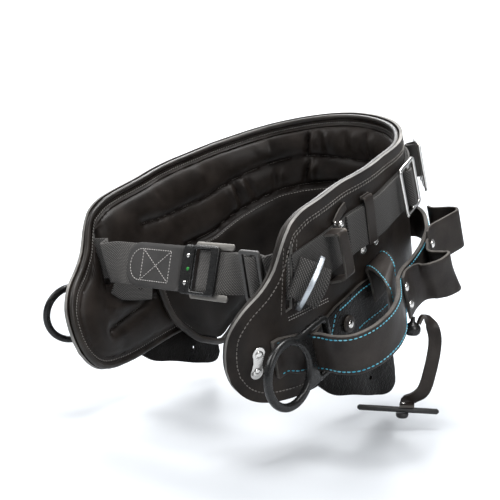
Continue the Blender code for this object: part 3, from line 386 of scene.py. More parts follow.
# The pad is cut from the lining's leather; its darker tones are painted shade against the light the floor
# throws up under the belt.
FINISH["pad"] = leather("pad_leather_painted_shade", (0.0055, 0.0043, 0.0036), (0.0135, 0.0107, 0.009),
                        (0.06, 0.05, 0.04), (0.36, 0.56), 1500.0, 0.00014, (0.57, 0.68), 0.13)
FINISH["suede"] = leather("suede_edge", (0.032, 0.029, 0.026), (0.125, 0.115, 0.105),
                          (0.17, 0.158, 0.144), (0.8, 0.95), 900.0, 0.0009, (0.53, 0.62), 0.2)
FINISH["tab"] = leather("tab_leather", (0.028, 0.0265, 0.0255), (0.050, 0.0475, 0.0455),
                        (0.20, 0.195, 0.19), (0.40, 0.56), 1600.0, 0.00012, (0.53, 0.6), 0.35)
print("leathers:", sorted(FINISH))

# %% Webbing
def webbing(name, dark, light):
    """Dull woven fabric: the weave sets the height, and the same height paints the tone, with painted
    shade in the dips and a painted highlight on the ribs.
    """
    made, tree, shader = new_finish(name)
    space = node(tree, "ShaderNodeUVMap", (-1200, 0))
    weave = node(tree, "ShaderNodeGroup", (-900, 100), {"Along": 2600.0, "Across": 2100.0},
                 node_tree=weave_group)
    feed(tree, space, weave, "UV", "Vector")
    # Painted shade between the threads and a painted highlight on the rib tops, both from the weave's
    # height.
    tone = mix_colour(tree, dark, light, (weave, "Height"), (-500, 200))
    feed(tree, tone, shader, 2, "Base Color")
    emboss(tree, weave, shader, 0.8, 0.0004)
    shader.inputs["Roughness"].default_value = 0.85
    shader.inputs["Specular IOR Level"].default_value = 0.15
    shader.inputs["Sheen Weight"].default_value = 0.05
    shader.inputs["Sheen Roughness"].default_value = 0.5
    return made


FINISH["black_web"] = webbing("black_webbing", (0.020, 0.019, 0.018), (0.145, 0.139, 0.133))
FINISH["grey_web"] = webbing("grey_webbing", (0.045, 0.043, 0.041), (0.20, 0.19, 0.18))
print("webbing is black outside and grey at the front")

# %% Thread
FINISH["thread"] = leather("grey_thread", (0.055, 0.050, 0.045), (0.15, 0.138, 0.125),
                           (0.25, 0.23, 0.21), (0.5, 0.7), 3000.0, 0.0002)
FINISH["rim_thread"] = leather("rim_thread", (0.09, 0.084, 0.078), (0.20, 0.19, 0.178),
                               (0.3, 0.28, 0.26), (0.5, 0.7), 3000.0, 0.0002)
FINISH["pale_thread"] = leather("pale_thread", (0.24, 0.23, 0.22), (0.42, 0.40, 0.38),
                                (0.4, 0.38, 0.36), (0.5, 0.7), 3000.0, 0.0002)
FINISH["teal_thread"] = leather("teal_thread", (0.012, 0.26, 0.42), (0.03, 0.46, 0.64),
                                (0.25, 0.62, 0.72), (0.4, 0.6), 3000.0, 0.0002)
print("threads: grey, rim, pale and teal")

# %% Metal
def metal(name, dark, light, rough, metallic, depth=0.0001, scale=220.0):
    """Plated, forged or coated metal with faint marks, and edges lighter partly from wear and partly from
    a painted highlight.
    """
    made, tree, shader = new_finish(name)
    space = node(tree, "ShaderNodeTexCoord", (-1200, 0))
    scuffs = node(tree, "ShaderNodeGroup", (-900, 100), {"Scale": scale}, node_tree=scuff_group)
    wear_and_highlight = node(tree, "ShaderNodeGroup", (-900, -200), {"Start": 0.55, "End": 0.65},
                node_tree=wear_and_highlight_group)
    feed(tree, space, scuffs, "Object", "Vector")
    feed(tree, space, wear_and_highlight, "Object", "Vector")
    faint = sums(tree, "MULTIPLY", (scuffs, "Marks"), 0.35, (-750, 150))
    # Sharp edges take the light tone: partly wear, partly a painted highlight.
    most = sums(tree, "MAXIMUM", (faint, 0), (wear_and_highlight, "Mask"), (-600, 100))
    tone = mix_colour(tree, dark, light, (most, 0), (-400, 200))
    feed(tree, tone, shader, 2, "Base Color")
    roughen(tree, scuffs, "Height", shader, rough)
    emboss(tree, scuffs, shader, 0.5, depth)
    shader.inputs["Metallic"].default_value = metallic
    return made


FINISH["nickel"] = metal("bright_nickel", (0.72, 0.70, 0.67), (0.86, 0.85, 0.83),
                         (0.10, 0.28), 1.0)
FINISH["zinc"] = metal("zinc_plated_steel", (0.55, 0.59, 0.63), (0.82, 0.86, 0.90),
                       (0.34, 0.50), 1.0, 0.00003, 160.0)
FINISH["dull_steel"] = metal("dull_steel", (0.22, 0.21, 0.195), (0.42, 0.40, 0.37),
                             (0.36, 0.52), 0.9, 0.00004, 200.0)
FINISH["grey_metal"] = metal("grey_coated_metal", (0.050, 0.048, 0.046), (0.12, 0.115, 0.11),
                             (0.42, 0.60), 0.1, 0.00012, 400.0)
FINISH["forged"] = metal("black_forged_steel", (0.010, 0.010, 0.010), (0.035, 0.033, 0.031),
                         (0.20, 0.36), 0.3, 0.00004, 200.0)
FINISH["matte_metal"] = metal("black_matte_metal", (0.018, 0.018, 0.018), (0.05, 0.049, 0.047),
                              (0.34, 0.52), 0.25, 0.0001, 400.0)
FINISH["green"] = metal("green_mark", (0.01, 0.30, 0.03), (0.03, 0.45, 0.06), (0.3, 0.5), 0.0)
print("finishes:", len(FINISH))

# %% [markdown]
# ## The belt's own coordinates
# Every sewn line on the belt is easier to place in the belt's own terms: how
# far round it lies from the centre of the back, how high, and how far out. The
# body is built level, opens a little toward its lower edge, and then tips
# forward, because the belt hangs front down. A curve object could carry the
# pieces too, but a function can be asked for any place and direction.

# %% Plan of the waist loop and edges of the body
# PLAN holds (degrees round from the back, distance from the middle), and each
# edge holds (length round from the back, height).
TILT = Matrix.Rotation(math.radians(21.0), 3, "X")
FLARE = 0.56
PLAN = [(0, 184), (25, 177), (50, 159), (75, 139), (100, 136), (125, 162), (150, 229), (175, 337)]
TOP_EDGE = [(0, 50), (140, 48), (240, 53), (300, 55.5), (350, 56), (383, 49), (396, 36),
            (412, 15), (430, 3), (452, -6), (466, -15), (477, -26), (484, -41), (488, -57)]
LOW_EDGE = [(0, -150), (150, -147), (307, -140), (370, -133), (407, -128), (440, -119),
            (461, -110), (474, -100), (483, -87), (488, -72)]
INNER_LOW = [(0, -152), (130, -153), (185, -159), (230, -171), (262, -178), (300, -158),
             (322, -132), (334, -110), (338, -90)]


def smooth(rows, at):
    """Value between rows of (place, value): a cubic curve that never swings past them."""
    last = len(rows) - 1
    if at <= rows[0][0]:
        return rows[0][1]
    if at >= rows[last][0]:
        return rows[last][1]
    steps = [(rows[i + 1][1] - rows[i][1]) / (rows[i + 1][0] - rows[i][0]) for i in range(last)]
    slopes = [0.0] * last + [steps[-1]]
    for i in range(1, last):
        if steps[i - 1] * steps[i] > 0.0:
            slopes[i] = 2.0 * steps[i - 1] * steps[i] / (steps[i - 1] + steps[i])
    i = max(k for k in range(last) if rows[k][0] <= at)
    wide = rows[i + 1][0] - rows[i][0]
    t = (at - rows[i][0]) / wide
    a = (2 * t ** 3 - 3 * t ** 2 + 1) * rows[i][1] + (t ** 3 - 2 * t ** 2 + t) * wide * slopes[i]
    b = (3 * t ** 2 - 2 * t ** 3) * rows[i + 1][1] + (t ** 3 - t ** 2) * wide * slopes[i + 1]
    return a + b


CURVE = [(0.0, Vector((0.0, PLAN[0][1] * MM)))]
for step in range(1, 177):
    reach = smooth(PLAN, step) * MM
    spot = Vector((reach * math.sin(math.radians(step)), reach * math.cos(math.radians(step))))
    CURVE.append((CURVE[-1][0] + (spot - CURVE[-1][1]).length, spot))
LENGTHS = [length for length, spot in CURVE]


def plan(along):
    """Place, forward direction and outward direction on the waist loop."""
    i = min(len(CURVE) - 2, max(0, bisect.bisect_right(LENGTHS, along) - 1))
    share = (along - LENGTHS[i]) / (LENGTHS[i + 1] - LENGTHS[i])
    spot = CURVE[i][1].lerp(CURVE[i + 1][1], share)
    early = CURVE[max(0, i - 6)][1].lerp(CURVE[max(0, i - 5)][1], share)
    late = CURVE[min(len(CURVE) - 1, i + 6)][1].lerp(CURVE[min(len(CURVE) - 1, i + 7)][1], share)
    forward = (late - early).normalized()
    if i < 6:
        forward = forward.lerp(Vector((1.0, 0.0)), 1.0 - (i + share) / 6.0).normalized()
    return spot, forward, Vector((-forward.y, forward.x))


def level_point(along, height, out):
    """A place on the level belt, before it tips forward."""
    side = 1.0 if along >= 0.0 else -1.0
    spot, forward, outward = plan(abs(along))
    place = (spot + outward * out) * (1.0 + FLARE * height)
    return Vector((side * place.x, place.y, height))


def on_belt(along, height, out):
    """A place on the tipped belt; along is positive on the wearer's left. All in metres."""
    return TILT @ level_point(along, height, out)


def face_of(along, height=0.0):
    """Direction straight out of the belt's face."""
    span = 4 * MM
    run = on_belt(along + span, height, 0.0) - on_belt(along - span, height, 0.0)
    up = on_belt(along, height + span, 0.0) - on_belt(along, height - span, 0.0)
    return up.cross(run).normalized()


def seat(along, height, out):
    """Axes of a fitting on the level belt: X right as seen from outside, Y up, Z out."""
    side = 1.0 if along >= 0.0 else -1.0
    outward = plan(abs(along))[2]
    ahead = Vector((side * outward.x, outward.y, 0.0))
    up = Vector((0.0, 0.0, 1.0))
    axes = Matrix((up.cross(ahead), up, ahead)).transposed().to_4x4()
    place = Matrix.Translation(level_point(along, height, out)) @ axes
    return TILT.to_4x4() @ place


def top_edge(along):
    """Height of the body's upper edge."""
    return smooth(TOP_EDGE, abs(along) / MM) * MM


def low_edge(along):
    """Height of the body's lower edge."""
    return smooth(LOW_EDGE, abs(along) / MM) * MM


def inner_low(along):
    """Height of the inner pad's lower edge."""
    return smooth(INNER_LOW, abs(along) / MM) * MM


print("half of the loop is", round(LENGTHS[-1], 3), "m long")

# %% [markdown]
# ## Tools for bending leather and webbing
# A strap or a wall starts as a flat grid. Each vertex is carried to its place
# on the belt, the wall gets its thickness from a Solidify modifier, and a
# Bevel softens the cut edges. Solidify gives the rim its own material slot, so
# a cut edge can show the paler core of the hide. Curve modifiers could bend a
# flat strap as well, but then its width couldn't turn freely along the way.

# %% Bent grids
bpy.context.tool_settings.mesh_select_mode = (False, False, True)


def only(item):
    """Select one object and nothing else."""
    bpy.ops.object.select_all(action="DESELECT")
    item.select_set(True)
    bpy.context.view_layer.objects.active = item


def modify(item, kind, **settings):
    """Add a modifier and apply it at once."""
    only(item)
    made = item.modifiers.new(kind.lower(), kind)
    for key, value in settings.items():
        setattr(made, key, value)
    bpy.ops.object.modifier_apply(modifier=made.name)
    return item


def bent_grid(name, us, vs, place, missing=(), flip=False):
    """A grid whose columns stand at us and rows at vs, each vertex carried to place(u, v)."""
    bpy.ops.object.select_all(action="DESELECT")
    wide, high = len(us) - 1, len(vs) - 1
    bpy.ops.mesh.primitive_grid_add(x_subdivisions=wide, y_subdivisions=high, size=1.0)
    item = bpy.context.object
    item.name = name
    mesh = item.data
    cells = []
    for vert in mesh.vertices:
        i, j = round((vert.co.x + 0.5) * wide), round((vert.co.y + 0.5) * high)
        cells.append((i, j))
        vert.co = place(us[i], vs[j])
    layer = mesh.uv_layers.active.data
    for loop in mesh.loops:
        i, j = cells[loop.vertex_index]
        layer[loop.index].uv = (us[i], vs[j])
    if missing:
        drop = []
        for face in mesh.polygons:
            low = (min(cells[k][0] for k in face.vertices), min(cells[k][1] for k in face.vertices))
            drop.append(low in missing)
        mesh.vertices.foreach_set("select", [False] * len(mesh.vertices))
        mesh.edges.foreach_set("select", [False] * len(mesh.edges))
        mesh.polygons.foreach_set("select", drop)
        only(item)
        bpy.ops.object.mode_set(mode="EDIT")
        bpy.ops.mesh.delete(type="FACE")
        bpy.ops.object.mode_set(mode="OBJECT")
    if flip:
        only(item)
        bpy.ops.object.mode_set(mode="EDIT")
        bpy.ops.mesh.select_all(action="SELECT")
        bpy.ops.mesh.flip_normals()
        bpy.ops.object.mode_set(mode="OBJECT")
    return item


print("bent grids are ready")

# %% Finish and thickness
def dress(item, faces, rim=None, nodes=(), smooth_angle=35.0):
    """Give a piece its finishes, its smooth shading, its body and the nodes it stands for."""
    kept = [face.material_index for face in item.data.polygons]
    item.data.materials.clear()
    item.data.materials.append(FINISH[faces])
    if rim:
        item.data.materials.append(FINISH[rim])
        item.data.polygons.foreach_set("material_index", kept)
    only(item)
    bpy.ops.object.shade_smooth_by_angle(angle=math.radians(smooth_angle))
    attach(item, "root")
    if nodes:
        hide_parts(*nodes)
    return item


def thicken(item, thick, offset=-1.0, edge=0.5 * MM, segments=2):
    """Wall thickness, with a rim of its own material, and softened cut edges."""
    item.data.materials.clear()
    for filler in (FINISH["strap"], FINISH["edge"]):
        item.data.materials.append(filler)
    modify(item, "SOLIDIFY", thickness=thick, offset=offset, material_offset_rim=1,
           use_even_offset=True, use_quality_normals=True)
    if edge:
        modify(item, "BEVEL", width=edge, segments=segments, limit_method="ANGLE",
               angle_limit=math.radians(50.0), use_clamp_overlap=True, material=-1)
    return item


print("pieces can be thickened and dressed")

# %% Even places along a line
def spline(points, count, closed=False):
    """Even places on a smooth curve through the points (Catmull-Rom)."""
    total = len(points)
    dense = []
    spans = total if closed else total - 1
    for i in range(spans):
        if closed:
            quad = [points[(i + k - 1) % total] for k in range(4)]
        else:
            quad = [points[min(total - 1, max(0, i + k - 1))] for k in range(4)]
        p0, p1, p2, p3 = quad
        fine = max(4, int((p2 - p1).length / (0.8 * MM)))
        for k in range(fine):
            t = k / fine
            dense.append(0.5 * ((2 * p1) + (p2 - p0) * t + (2 * p0 - 5 * p1 + 4 * p2 - p3) * t * t
                                + (3 * p1 - p0 - 3 * p2 + p3) * t ** 3))
    dense.append(points[0].copy() if closed else points[-1].copy())
    return even(dense, count)


def shares(line, count):
    """For evenly spaced places along a line: the number of the span and the share of it."""
    runs = [0.0]
    for a, b in zip(line, line[1:]):
        runs.append(runs[-1] + (b - a).length)
    for k in range(count):
        want = runs[-1] * k / (count - 1)
        i = min(len(line) - 2, max(0, bisect.bisect_right(runs, want) - 1))
        step = runs[i + 1] - runs[i]
        yield i, (want - runs[i]) / step if step else 0.0


def even(dense, count):
    """Places spaced evenly along a line of points."""
    return [dense[i].lerp(dense[i + 1], share) for i, share in shares(dense, count)]


def length_of(points):
    """Length of a line of points."""
    return sum((b - a).length for a, b in zip(points, points[1:]))


print("lines can be smoothed and divided")

# %% The route of a strap
class Route:
    """The middle line of a strap with the direction of its width and its face."""

    def __init__(self, points, across, wide, count, skew=False, closed=False):
        """Each point has its direction across; a skewed strap keeps it as it is given."""
        self.places = spline(points, count, closed)
        self.length = length_of(self.places)
        runs = [0.0]
        for a, b in zip(points, points[1:]):
            runs.append(runs[-1] + (b - a).length)
        if closed:
            runs.append(runs[-1] + (points[0] - points[-1]).length)
            across = list(across) + [across[0]]
            wide = list(wide) + [wide[0]] if isinstance(wide, list) else wide
        self.widths, self.wide_dirs, self.faces = [], [], []
        last = count - 1
        for k, place in enumerate(self.places):
            want = runs[-1] * k / last
            i = min(len(runs) - 2, max(0, bisect.bisect_right(runs, want) - 1))
            share = (want - runs[i]) / (runs[i + 1] - runs[i])
            share = share * share * (3 - 2 * share)
            width = across[i].normalized().lerp(across[i + 1].normalized(), share).normalized()
            before = self.places[k - 1 if k else (last - 1 if closed else 0)]
            after = self.places[k + 1 if k < last else (1 if closed else last)]
            run = (after - before).normalized()
            if not skew:
                width = (width - run * width.dot(run)).normalized()
            self.wide_dirs.append(width)
            self.faces.append(run.cross(width).normalized())
            if isinstance(wide, list):
                self.widths.append(wide[i] + (wide[i + 1] - wide[i]) * share)
            else:
                self.widths.append(wide)

    def at(self, u, v, out=0.0):
        """Place at u from 0 to 1 along the route and v from -0.5 to 0.5 across it."""
        spot = u * (len(self.places) - 1)
        i = min(len(self.places) - 2, int(spot))
        t = spot - i
        middle = self.places[i].lerp(self.places[i + 1], t)
        width = self.wide_dirs[i].lerp(self.wide_dirs[i + 1], t)
        face = self.faces[i].lerp(self.faces[i + 1], t)
        wide = self.widths[i] + (self.widths[i + 1] - self.widths[i]) * t
        return middle + width * (wide * v) + face * out


print("routes are ready")

# %% A strap along its route
def strap(name, route, thick, rows=8, columns=None, shape=None, edge=0.5 * MM):
    """A flat strap bent along its route; shape(u, v) may push the face out or draw it in."""
    columns = columns or max(8, int(route.length / (3.0 * MM)))
    us = [k / columns for k in range(columns + 1)]
    vs = [k / rows - 0.5 for k in range(rows + 1)]

    def place(u, v):
        out, squeeze = shape(u, v) if shape else (0.0, 1.0)
        return route.at(u, v * squeeze, out)

    item = bent_grid(name, us, vs, place)
    wide = max(route.widths)
    layer = item.data.uv_layers.active.data
    for corner in layer:
        corner.uv = (corner.uv[0] * route.length, corner.uv[1] * wide)
    return thicken(item, thick, 0.0, edge)


def leather_strap(name, route, thick, rows, columns, nodes, edge=0.5 * MM, shape=None):
    """A strap of dry leather with raw edges."""
    item = strap(name, route, thick, rows, columns, shape, edge)
    return dress(item, "strap", "suede", nodes, 50.0)


print("strap tools are ready")

# %% Round bars
def as_mesh(name, data, nearest):
    """An object from curve data, made a mesh with joined points and faces outward."""
    item = bpy.data.objects.new(name, data)
    bpy.context.scene.collection.objects.link(item)
    only(item)
    bpy.ops.object.convert(target="MESH")
    item = bpy.context.object
    bpy.ops.object.mode_set(mode="EDIT")
    bpy.ops.mesh.select_all(action="SELECT")
    bpy.ops.mesh.remove_doubles(threshold=nearest)
    bpy.ops.mesh.normals_make_consistent(inside=False)
    bpy.ops.object.mode_set(mode="OBJECT")
    return item


def bar(name, points, radius, closed=False):
    """A round bar or bead: a poly curve with a bevel, made a mesh."""
    bpy.ops.object.select_all(action="DESELECT")
    data = bpy.data.curves.new(name, "CURVE")
    data.dimensions = "3D"
    data.bevel_depth = radius
    data.bevel_resolution = 4
    data.use_fill_caps = not closed
    line = data.splines.new("POLY")
    line.points.add(len(points) - 1)
    for knot, point in zip(line.points, points):
        knot.co = (*point, 1.0)
    line.use_cyclic_u = closed
    return as_mesh(name, data, 1e-6)


print("round bars are ready")

# %% Turned parts
def put(item, place):
    """Carry a finished shape to its place and leave its object at the origin."""
    item.data.transform(place)
    if place.determinant() < 0.0:
        item.data.flip_normals()
    return item


def turned(name, rows, place, steps=32):
    """A disc, extruded upward and resized for each (radius, height) row in millimetres."""
    rows = [(radius * MM, height * MM) for radius, height in rows]
    bpy.ops.object.select_all(action="DESELECT")
    radius, height = rows[0]
    bpy.ops.mesh.primitive_circle_add(vertices=steps, radius=radius, fill_type="NGON",
                                      location=(0, 0, 0))
    item = bpy.context.object
    item.name = name
    bpy.ops.object.mode_set(mode="EDIT")
    bpy.ops.mesh.select_all(action="SELECT")
    for (r0, h0), (r1, h1) in zip(rows, rows[1:]):
        move = {"value": (0.0, 0.0, h1 - h0)}
        bpy.ops.mesh.extrude_region_move(TRANSFORM_OT_translate=move)
        bpy.ops.transform.resize(value=(r1 / r0, r1 / r0, 1.0), center_override=(0, 0, 0))
    bpy.ops.mesh.select_all(action="SELECT")
    bpy.ops.mesh.normals_make_consistent(inside=False)
    bpy.ops.object.mode_set(mode="OBJECT")
    item.data.transform(Matrix.Translation((0, 0, height)))
    return put(item, place)


def dome(radius, high):
    """Rows of a domed rivet head with a thin rim, in millimetres."""
    rim = 0.3
    rows = [(radius * 0.97, rim), (radius, rim + high * 0.12)]
    for k in range(8):
        angle = math.radians(12 + 76 * k / 7)
        rows.append((radius * 0.96 * math.cos(angle), rim + high * (0.15 + 0.85 * math.sin(angle))))
    return rows


def rivet(name, place, radius, high, piece=None):
    """A bright domed head that stands for the node of this name."""
    head = turned(piece or name + "_head", dome(radius, high), place)
    return dress(head, "nickel", nodes=[name])


print("turned parts are ready")

# %% Flat plates
def flat_plate(name, outlines, thick, soften, place, steps=3):
    """A plate from outlines in millimetres: its rim first, and then its openings."""
    bpy.ops.object.select_all(action="DESELECT")
    data = bpy.data.curves.new(name, "CURVE")
    data.dimensions = "2D"
    data.fill_mode = "BOTH"
    data.bevel_depth = soften * MM
    data.bevel_resolution = steps
    data.extrude = (thick / 2 - soften) * MM
    data.offset = -soften * MM
    for outline in outlines:
        line = data.splines.new("POLY")
        line.points.add(len(outline) - 1)
        for knot, (x, y) in zip(line.points, outline):
            knot.co = (x * MM, y * MM, 0.0, 1.0)
        line.use_cyclic_u = True
    return put(as_mesh(name, data, 2e-6), place)


def rounded(wide, high, radius, at=(0.0, 0.0)):
    """Outline of a rectangle with arcs for corners, in millimetres."""
    points = []
    for sx, sy, start in ((1, 1, 0), (-1, 1, 90), (-1, -1, 180), (1, -1, 270)):
        for k in range(7):
            angle = math.radians(start + 15 * k)
            points.append((at[0] + sx * (wide / 2 - radius) + radius * math.cos(angle),
                           at[1] + sy * (high / 2 - radius) + radius * math.sin(angle)))
    return points


def circle(radius):
    """Outline of a round opening, in millimetres."""
    return [(radius * math.cos(math.tau * k / 48), radius * math.sin(math.tau * k / 48))
            for k in range(48)]


print("flat plates are ready")

# %% [markdown]
# ## Stitches
# A seam is hundreds of equal stitches. One stitch is modelled from a small
# sphere that is drawn out into a rice grain, and then it is copied along each
# seam, so that every thread is real geometry that catches the light. A bump map
# would be cheaper, but it stays flat where the belt is seen from the side.

# %% One stitch, copied along a seam
bpy.ops.object.select_all(action="DESELECT")
bpy.ops.mesh.primitive_uv_sphere_add(segments=8, ring_count=6, radius=1.0)
grain_of_thread = bpy.context.object
grain_of_thread.data.transform(Matrix.Rotation(math.pi / 2, 4, "Y"))
STITCH_POINTS = [vert.co.copy() for vert in grain_of_thread.data.vertices]
STITCH_FACES = [tuple(face.vertices) for face in grain_of_thread.data.polygons]
bpy.data.objects.remove(grain_of_thread, do_unlink=True)
print("one stitch has", len(STITCH_FACES), "faces")

# %% Seams
def seam(name, rows, pitch, long, thick, finish, sink=0.15, slant=0.0):
    """Stitches along rows of (points, normals), half sunk; pitch and size in millimetres."""
    pitch, long, thick = pitch * MM, long * MM, thick * MM
    points, faces = [], []
    for line, normals in rows:
        total = length_of(line)
        count = max(2, int(round(total / pitch)))
        spots = even(line, count * 2 + 1)
        ups = even_with(line, normals, count * 2 + 1)
        for k in range(count):
            middle = spots[2 * k + 1]
            run = (spots[2 * k + 2] - spots[2 * k]).normalized()
            up = ups[2 * k + 1]
            up = (up - run * up.dot(run)).normalized()
            side = up.cross(run)
            run = (run + side * slant).normalized()
            side = up.cross(run).normalized()
            first = len(points)
            for co in STITCH_POINTS:
                lift = co.z * 0.55 - 0.25 * co.x * co.x - sink
                points.append(middle + run * (co.x * long / 2) + side * (co.y * thick / 2)
                              + up * (lift * thick))
            faces += [tuple(first + index for index in face) for face in STITCH_FACES]
    mesh = bpy.data.meshes.new(name)
    mesh.from_pydata(points, [], faces)
    item = bpy.data.objects.new(name, mesh)
    bpy.context.scene.collection.objects.link(item)
    dress(item, finish, smooth_angle=80.0)
    return item


def even_with(line, normals, count):
    """Normals carried along with evenly spaced places."""
    return [normals[i].lerp(normals[i + 1], share).normalized() for i, share in shares(line, count)]


def belt_row(path, out):
    """A seam on the belt's face from (along, height) places in metres."""
    line = [on_belt(a, h, out) for a, h in path]
    normals = [face_of(a, h) for a, h in path]
    return line, normals


def strap_row(route, v, out, start=0.02, stop=0.98, sign=1.0):
    """A seam along a strap, at v across it and out from its middle."""
    count = max(8, int(route.length / (2 * MM)))
    line, normals = [], []
    for k in range(count):
        u = start + (stop - start) * k / (count - 1)
        line.append(route.at(u, v, out))
        normals.append((route.at(u, v, out + 1 * MM * sign) - route.at(u, v, out)).normalized())
    return line, normals


print("stitch tools are ready")

# %% [markdown]
# ## Outline of the body
# The shell, its rolled edge, the lining and their seams all follow one outline.
# It is measured once as a line in belt coordinates, and a seam a certain way in
# from the edge is the same line moved inward.

# %% Outline and lines inside it
TIP = 488 * MM
SHELL_OUT = 7.0 * MM
SHELL_THICK = 3.5 * MM
SLOT_AT, SLOT_HALF, SLOT_LEAN = 396 * MM, 31 * MM, 0.34


def half_outline():
    """The edge of one half, from the top of the back round the tip to its foot."""
    share = [math.sin(math.pi / 2 * k / 200) for k in range(201)]
    top = [Vector((TIP * s, top_edge(TIP * s), 0.0)) for s in share]
    low = [Vector((TIP * s, low_edge(TIP * s), 0.0)) for s in reversed(share)]
    return even(top + low, 900)


OUTLINE = half_outline()


def moved_line(line, inset, slack):
    """A line moved sideways, without the places that come back too near to it."""
    dense = np.array([(p.x, p.y) for p in line])
    run = np.gradient(dense, axis=0)
    run /= np.linalg.norm(run, axis=1)[:, None]
    moved = dense + np.stack([run[:, 1], -run[:, 0]], axis=1) * inset
    gaps = np.array([np.min(np.hypot(*(dense - spot).T)) for spot in moved])
    return moved[gaps > abs(inset) - slack]


def inset_line(inset):
    """The half outline moved inward by the inset."""
    return [Vector((x, y, 0.0)) for x, y in moved_line(OUTLINE, inset, 0.15 * MM) if x >= 0.0]


def whole_loop(inset, count):
    """A closed line round the body at the inset, as (along, height) places."""
    half = inset_line(inset)
    other = [Vector((-p.x, p.y, 0.0)) for p in reversed(half)]
    line = even(half + other + [half[0].copy()], count + 1)[:-1]
    return [(p.x, p.y) for p in line]


print("outline is", round(2 * length_of(OUTLINE), 3), "m round")

# %% Grid of the body, with its slots
class Limits:
    """Lowest and highest place of the body at each length round it, for one inset."""

    def __init__(self, inset):
        line = inset_line(inset)
        tip = max(range(len(line)), key=lambda k: line[k].x)
        self.reach = line[tip].x
        self.top = ([p.x for p in line[:tip + 1]], [p.y for p in line[:tip + 1]])
        self.low = ([p.x for p in reversed(line[tip:])], [p.y for p in reversed(line[tip:])])

    def at(self, along):
        """Lowest and highest place at one length."""
        spot = min(abs(along), self.reach)
        return float(np.interp(spot, *self.low)), float(np.interp(spot, *self.top))


def wing_columns(reach, step=4.9, tip=22):
    """Lengths round one half: even over the back, at the slot's sides, and close at the tip."""
    values = [step * MM * k for k in range(int(383 / step) + 1)]
    values += [value * MM for value in (387.5, 391.5, 396, 400.5, 404.5)]
    start = 408 * MM
    values += [start + (reach - start) * math.sin(math.pi / 2 * k / tip) for k in range(tip)]
    values = sorted(values) + [reach - 0.02 * MM]
    return [-v for v in reversed(values) if v > 0.0] + values


LOW_ROWS, SLOT_ROWS, TOP_ROWS = 20, 14, 8
ROWS = LOW_ROWS + SLOT_ROWS + TOP_ROWS


def wing_spot(column, row, limits):
    """(along, height) of a grid point: columns lean along the slot, rows end at its ends."""
    def leaned(height):
        share = max(0.0, 1.0 - abs(abs(column) - SLOT_AT) / (40 * MM))
        share *= max(0.0, 1.0 - max(0.0, abs(height) - 60 * MM) / (50 * MM))
        return column - math.copysign(SLOT_LEAN, column) * height * share

    low, top = limits.at(column)
    if abs(column) < 440 * MM:
        top = limits.at(leaned(top))[1]
    knots = [low, -SLOT_HALF, min(SLOT_HALF, top - 3 * MM), top]
    if row <= LOW_ROWS:
        high = knots[0] + (knots[1] - knots[0]) * row / LOW_ROWS
    elif row <= LOW_ROWS + SLOT_ROWS:
        high = knots[1] + (knots[2] - knots[1]) * (row - LOW_ROWS) / SLOT_ROWS
    else:
        high = knots[2] + (knots[3] - knots[2]) * (row - LOW_ROWS - SLOT_ROWS) / TOP_ROWS
    plain = low + (top - low) * row / ROWS
    blend = min(1.0, max(0.0, (abs(column) - 402 * MM) / (24 * MM)))
    high += (plain - high) * blend
    return leaned(high), high


def slot_hole(columns, fine=1):
    """Grid cells that the webbing passes through."""
    holes = set()
    for i in range(len(columns) - 1):
        middle = abs(columns[i] + columns[i + 1]) / 2
        if abs(middle - SLOT_AT) < 4.4 * MM:
            holes.update((i, j) for j in range(LOW_ROWS * fine, (LOW_ROWS + SLOT_ROWS) * fine))
    return holes


print("each grid of the body has", ROWS, "rows")

# %% [markdown]
# ## Outer shell
# The shell is one piece of thick saddle leather. Its cut edge is left raw and
# waxed, which shows as a pale line all round the belt. It could be cut out of a
# bent wall by booleans. Instead a grid is bent to the outer face, its columns
# lean along the slots, the slots are left out, and the wall is thickened inward.

# %% Outer shell
def ripple(along, height, scale, deep):
    """Slow unevenness of a thick hide."""
    return deep * noise.noise(Vector((along * scale, height * scale, 3.1)))


edge_limits = Limits(0.0)
columns = wing_columns(edge_limits.reach)


def shell_place(column, row):
    """A grid point of the shell's outer face."""
    along, height = wing_spot(column, row, edge_limits)
    return on_belt(along, height, SHELL_OUT + ripple(along, height, 22.0, 0.35 * MM))


shell = bent_grid("leather_shell", columns, list(range(ROWS + 1)), shell_place,
                  slot_hole(columns), flip=True)
thicken(shell, SHELL_THICK, -1.0, 0.7 * MM, 3)
dress(shell, "shell", "edge", ["outer_shell"])
print("shell:", len(shell.data.polygons), "faces")

# %% [markdown]
# ## Rolled edge
# Behind the raw edge, a soft leather is rolled over the padding and stitched
# down. It reads as a dark bead along the whole outline, a little uneven, as
# leather is where it is pulled round a curve. A round bar along the outline gives
# the roll, and noise gives its unevenness.

# %% Rolled edge
BEAD = 3.1 * MM
BEAD_COUNT = 620
bead_out = SHELL_OUT - SHELL_THICK - 0.45 * MM - BEAD
loop = [Vector(spot) for spot in whole_loop(BEAD + 0.2 * MM, BEAD_COUNT)]
for step in range(6):
    loop = [(loop[k - 1] + loop[k] * 2.0 + loop[(k + 1) % BEAD_COUNT]) / 4.0
            for k in range(BEAD_COUNT)]
bead = bar("rolled_edge", [on_belt(a, h, bead_out) for a, h in loop], BEAD, closed=True)
for vert in bead.data.vertices:
    vert.co += vert.normal * (0.25 * MM * noise.noise(vert.co * 160.0))
dress(bead, "binding", nodes=["edge_binding"], smooth_angle=180.0)
print("rolled edge:", len(bead.data.polygons), "faces")

# %% [markdown]
# ## Seams of the shell
# One row of grey thread runs round the outside, eleven millimetres in from the
# edge. A second, slanted row follows it along the upper edge, and short rows
# close both sides of each slot. The rows are read from the outline, so that they
# keep their distance from the edge on every curve.

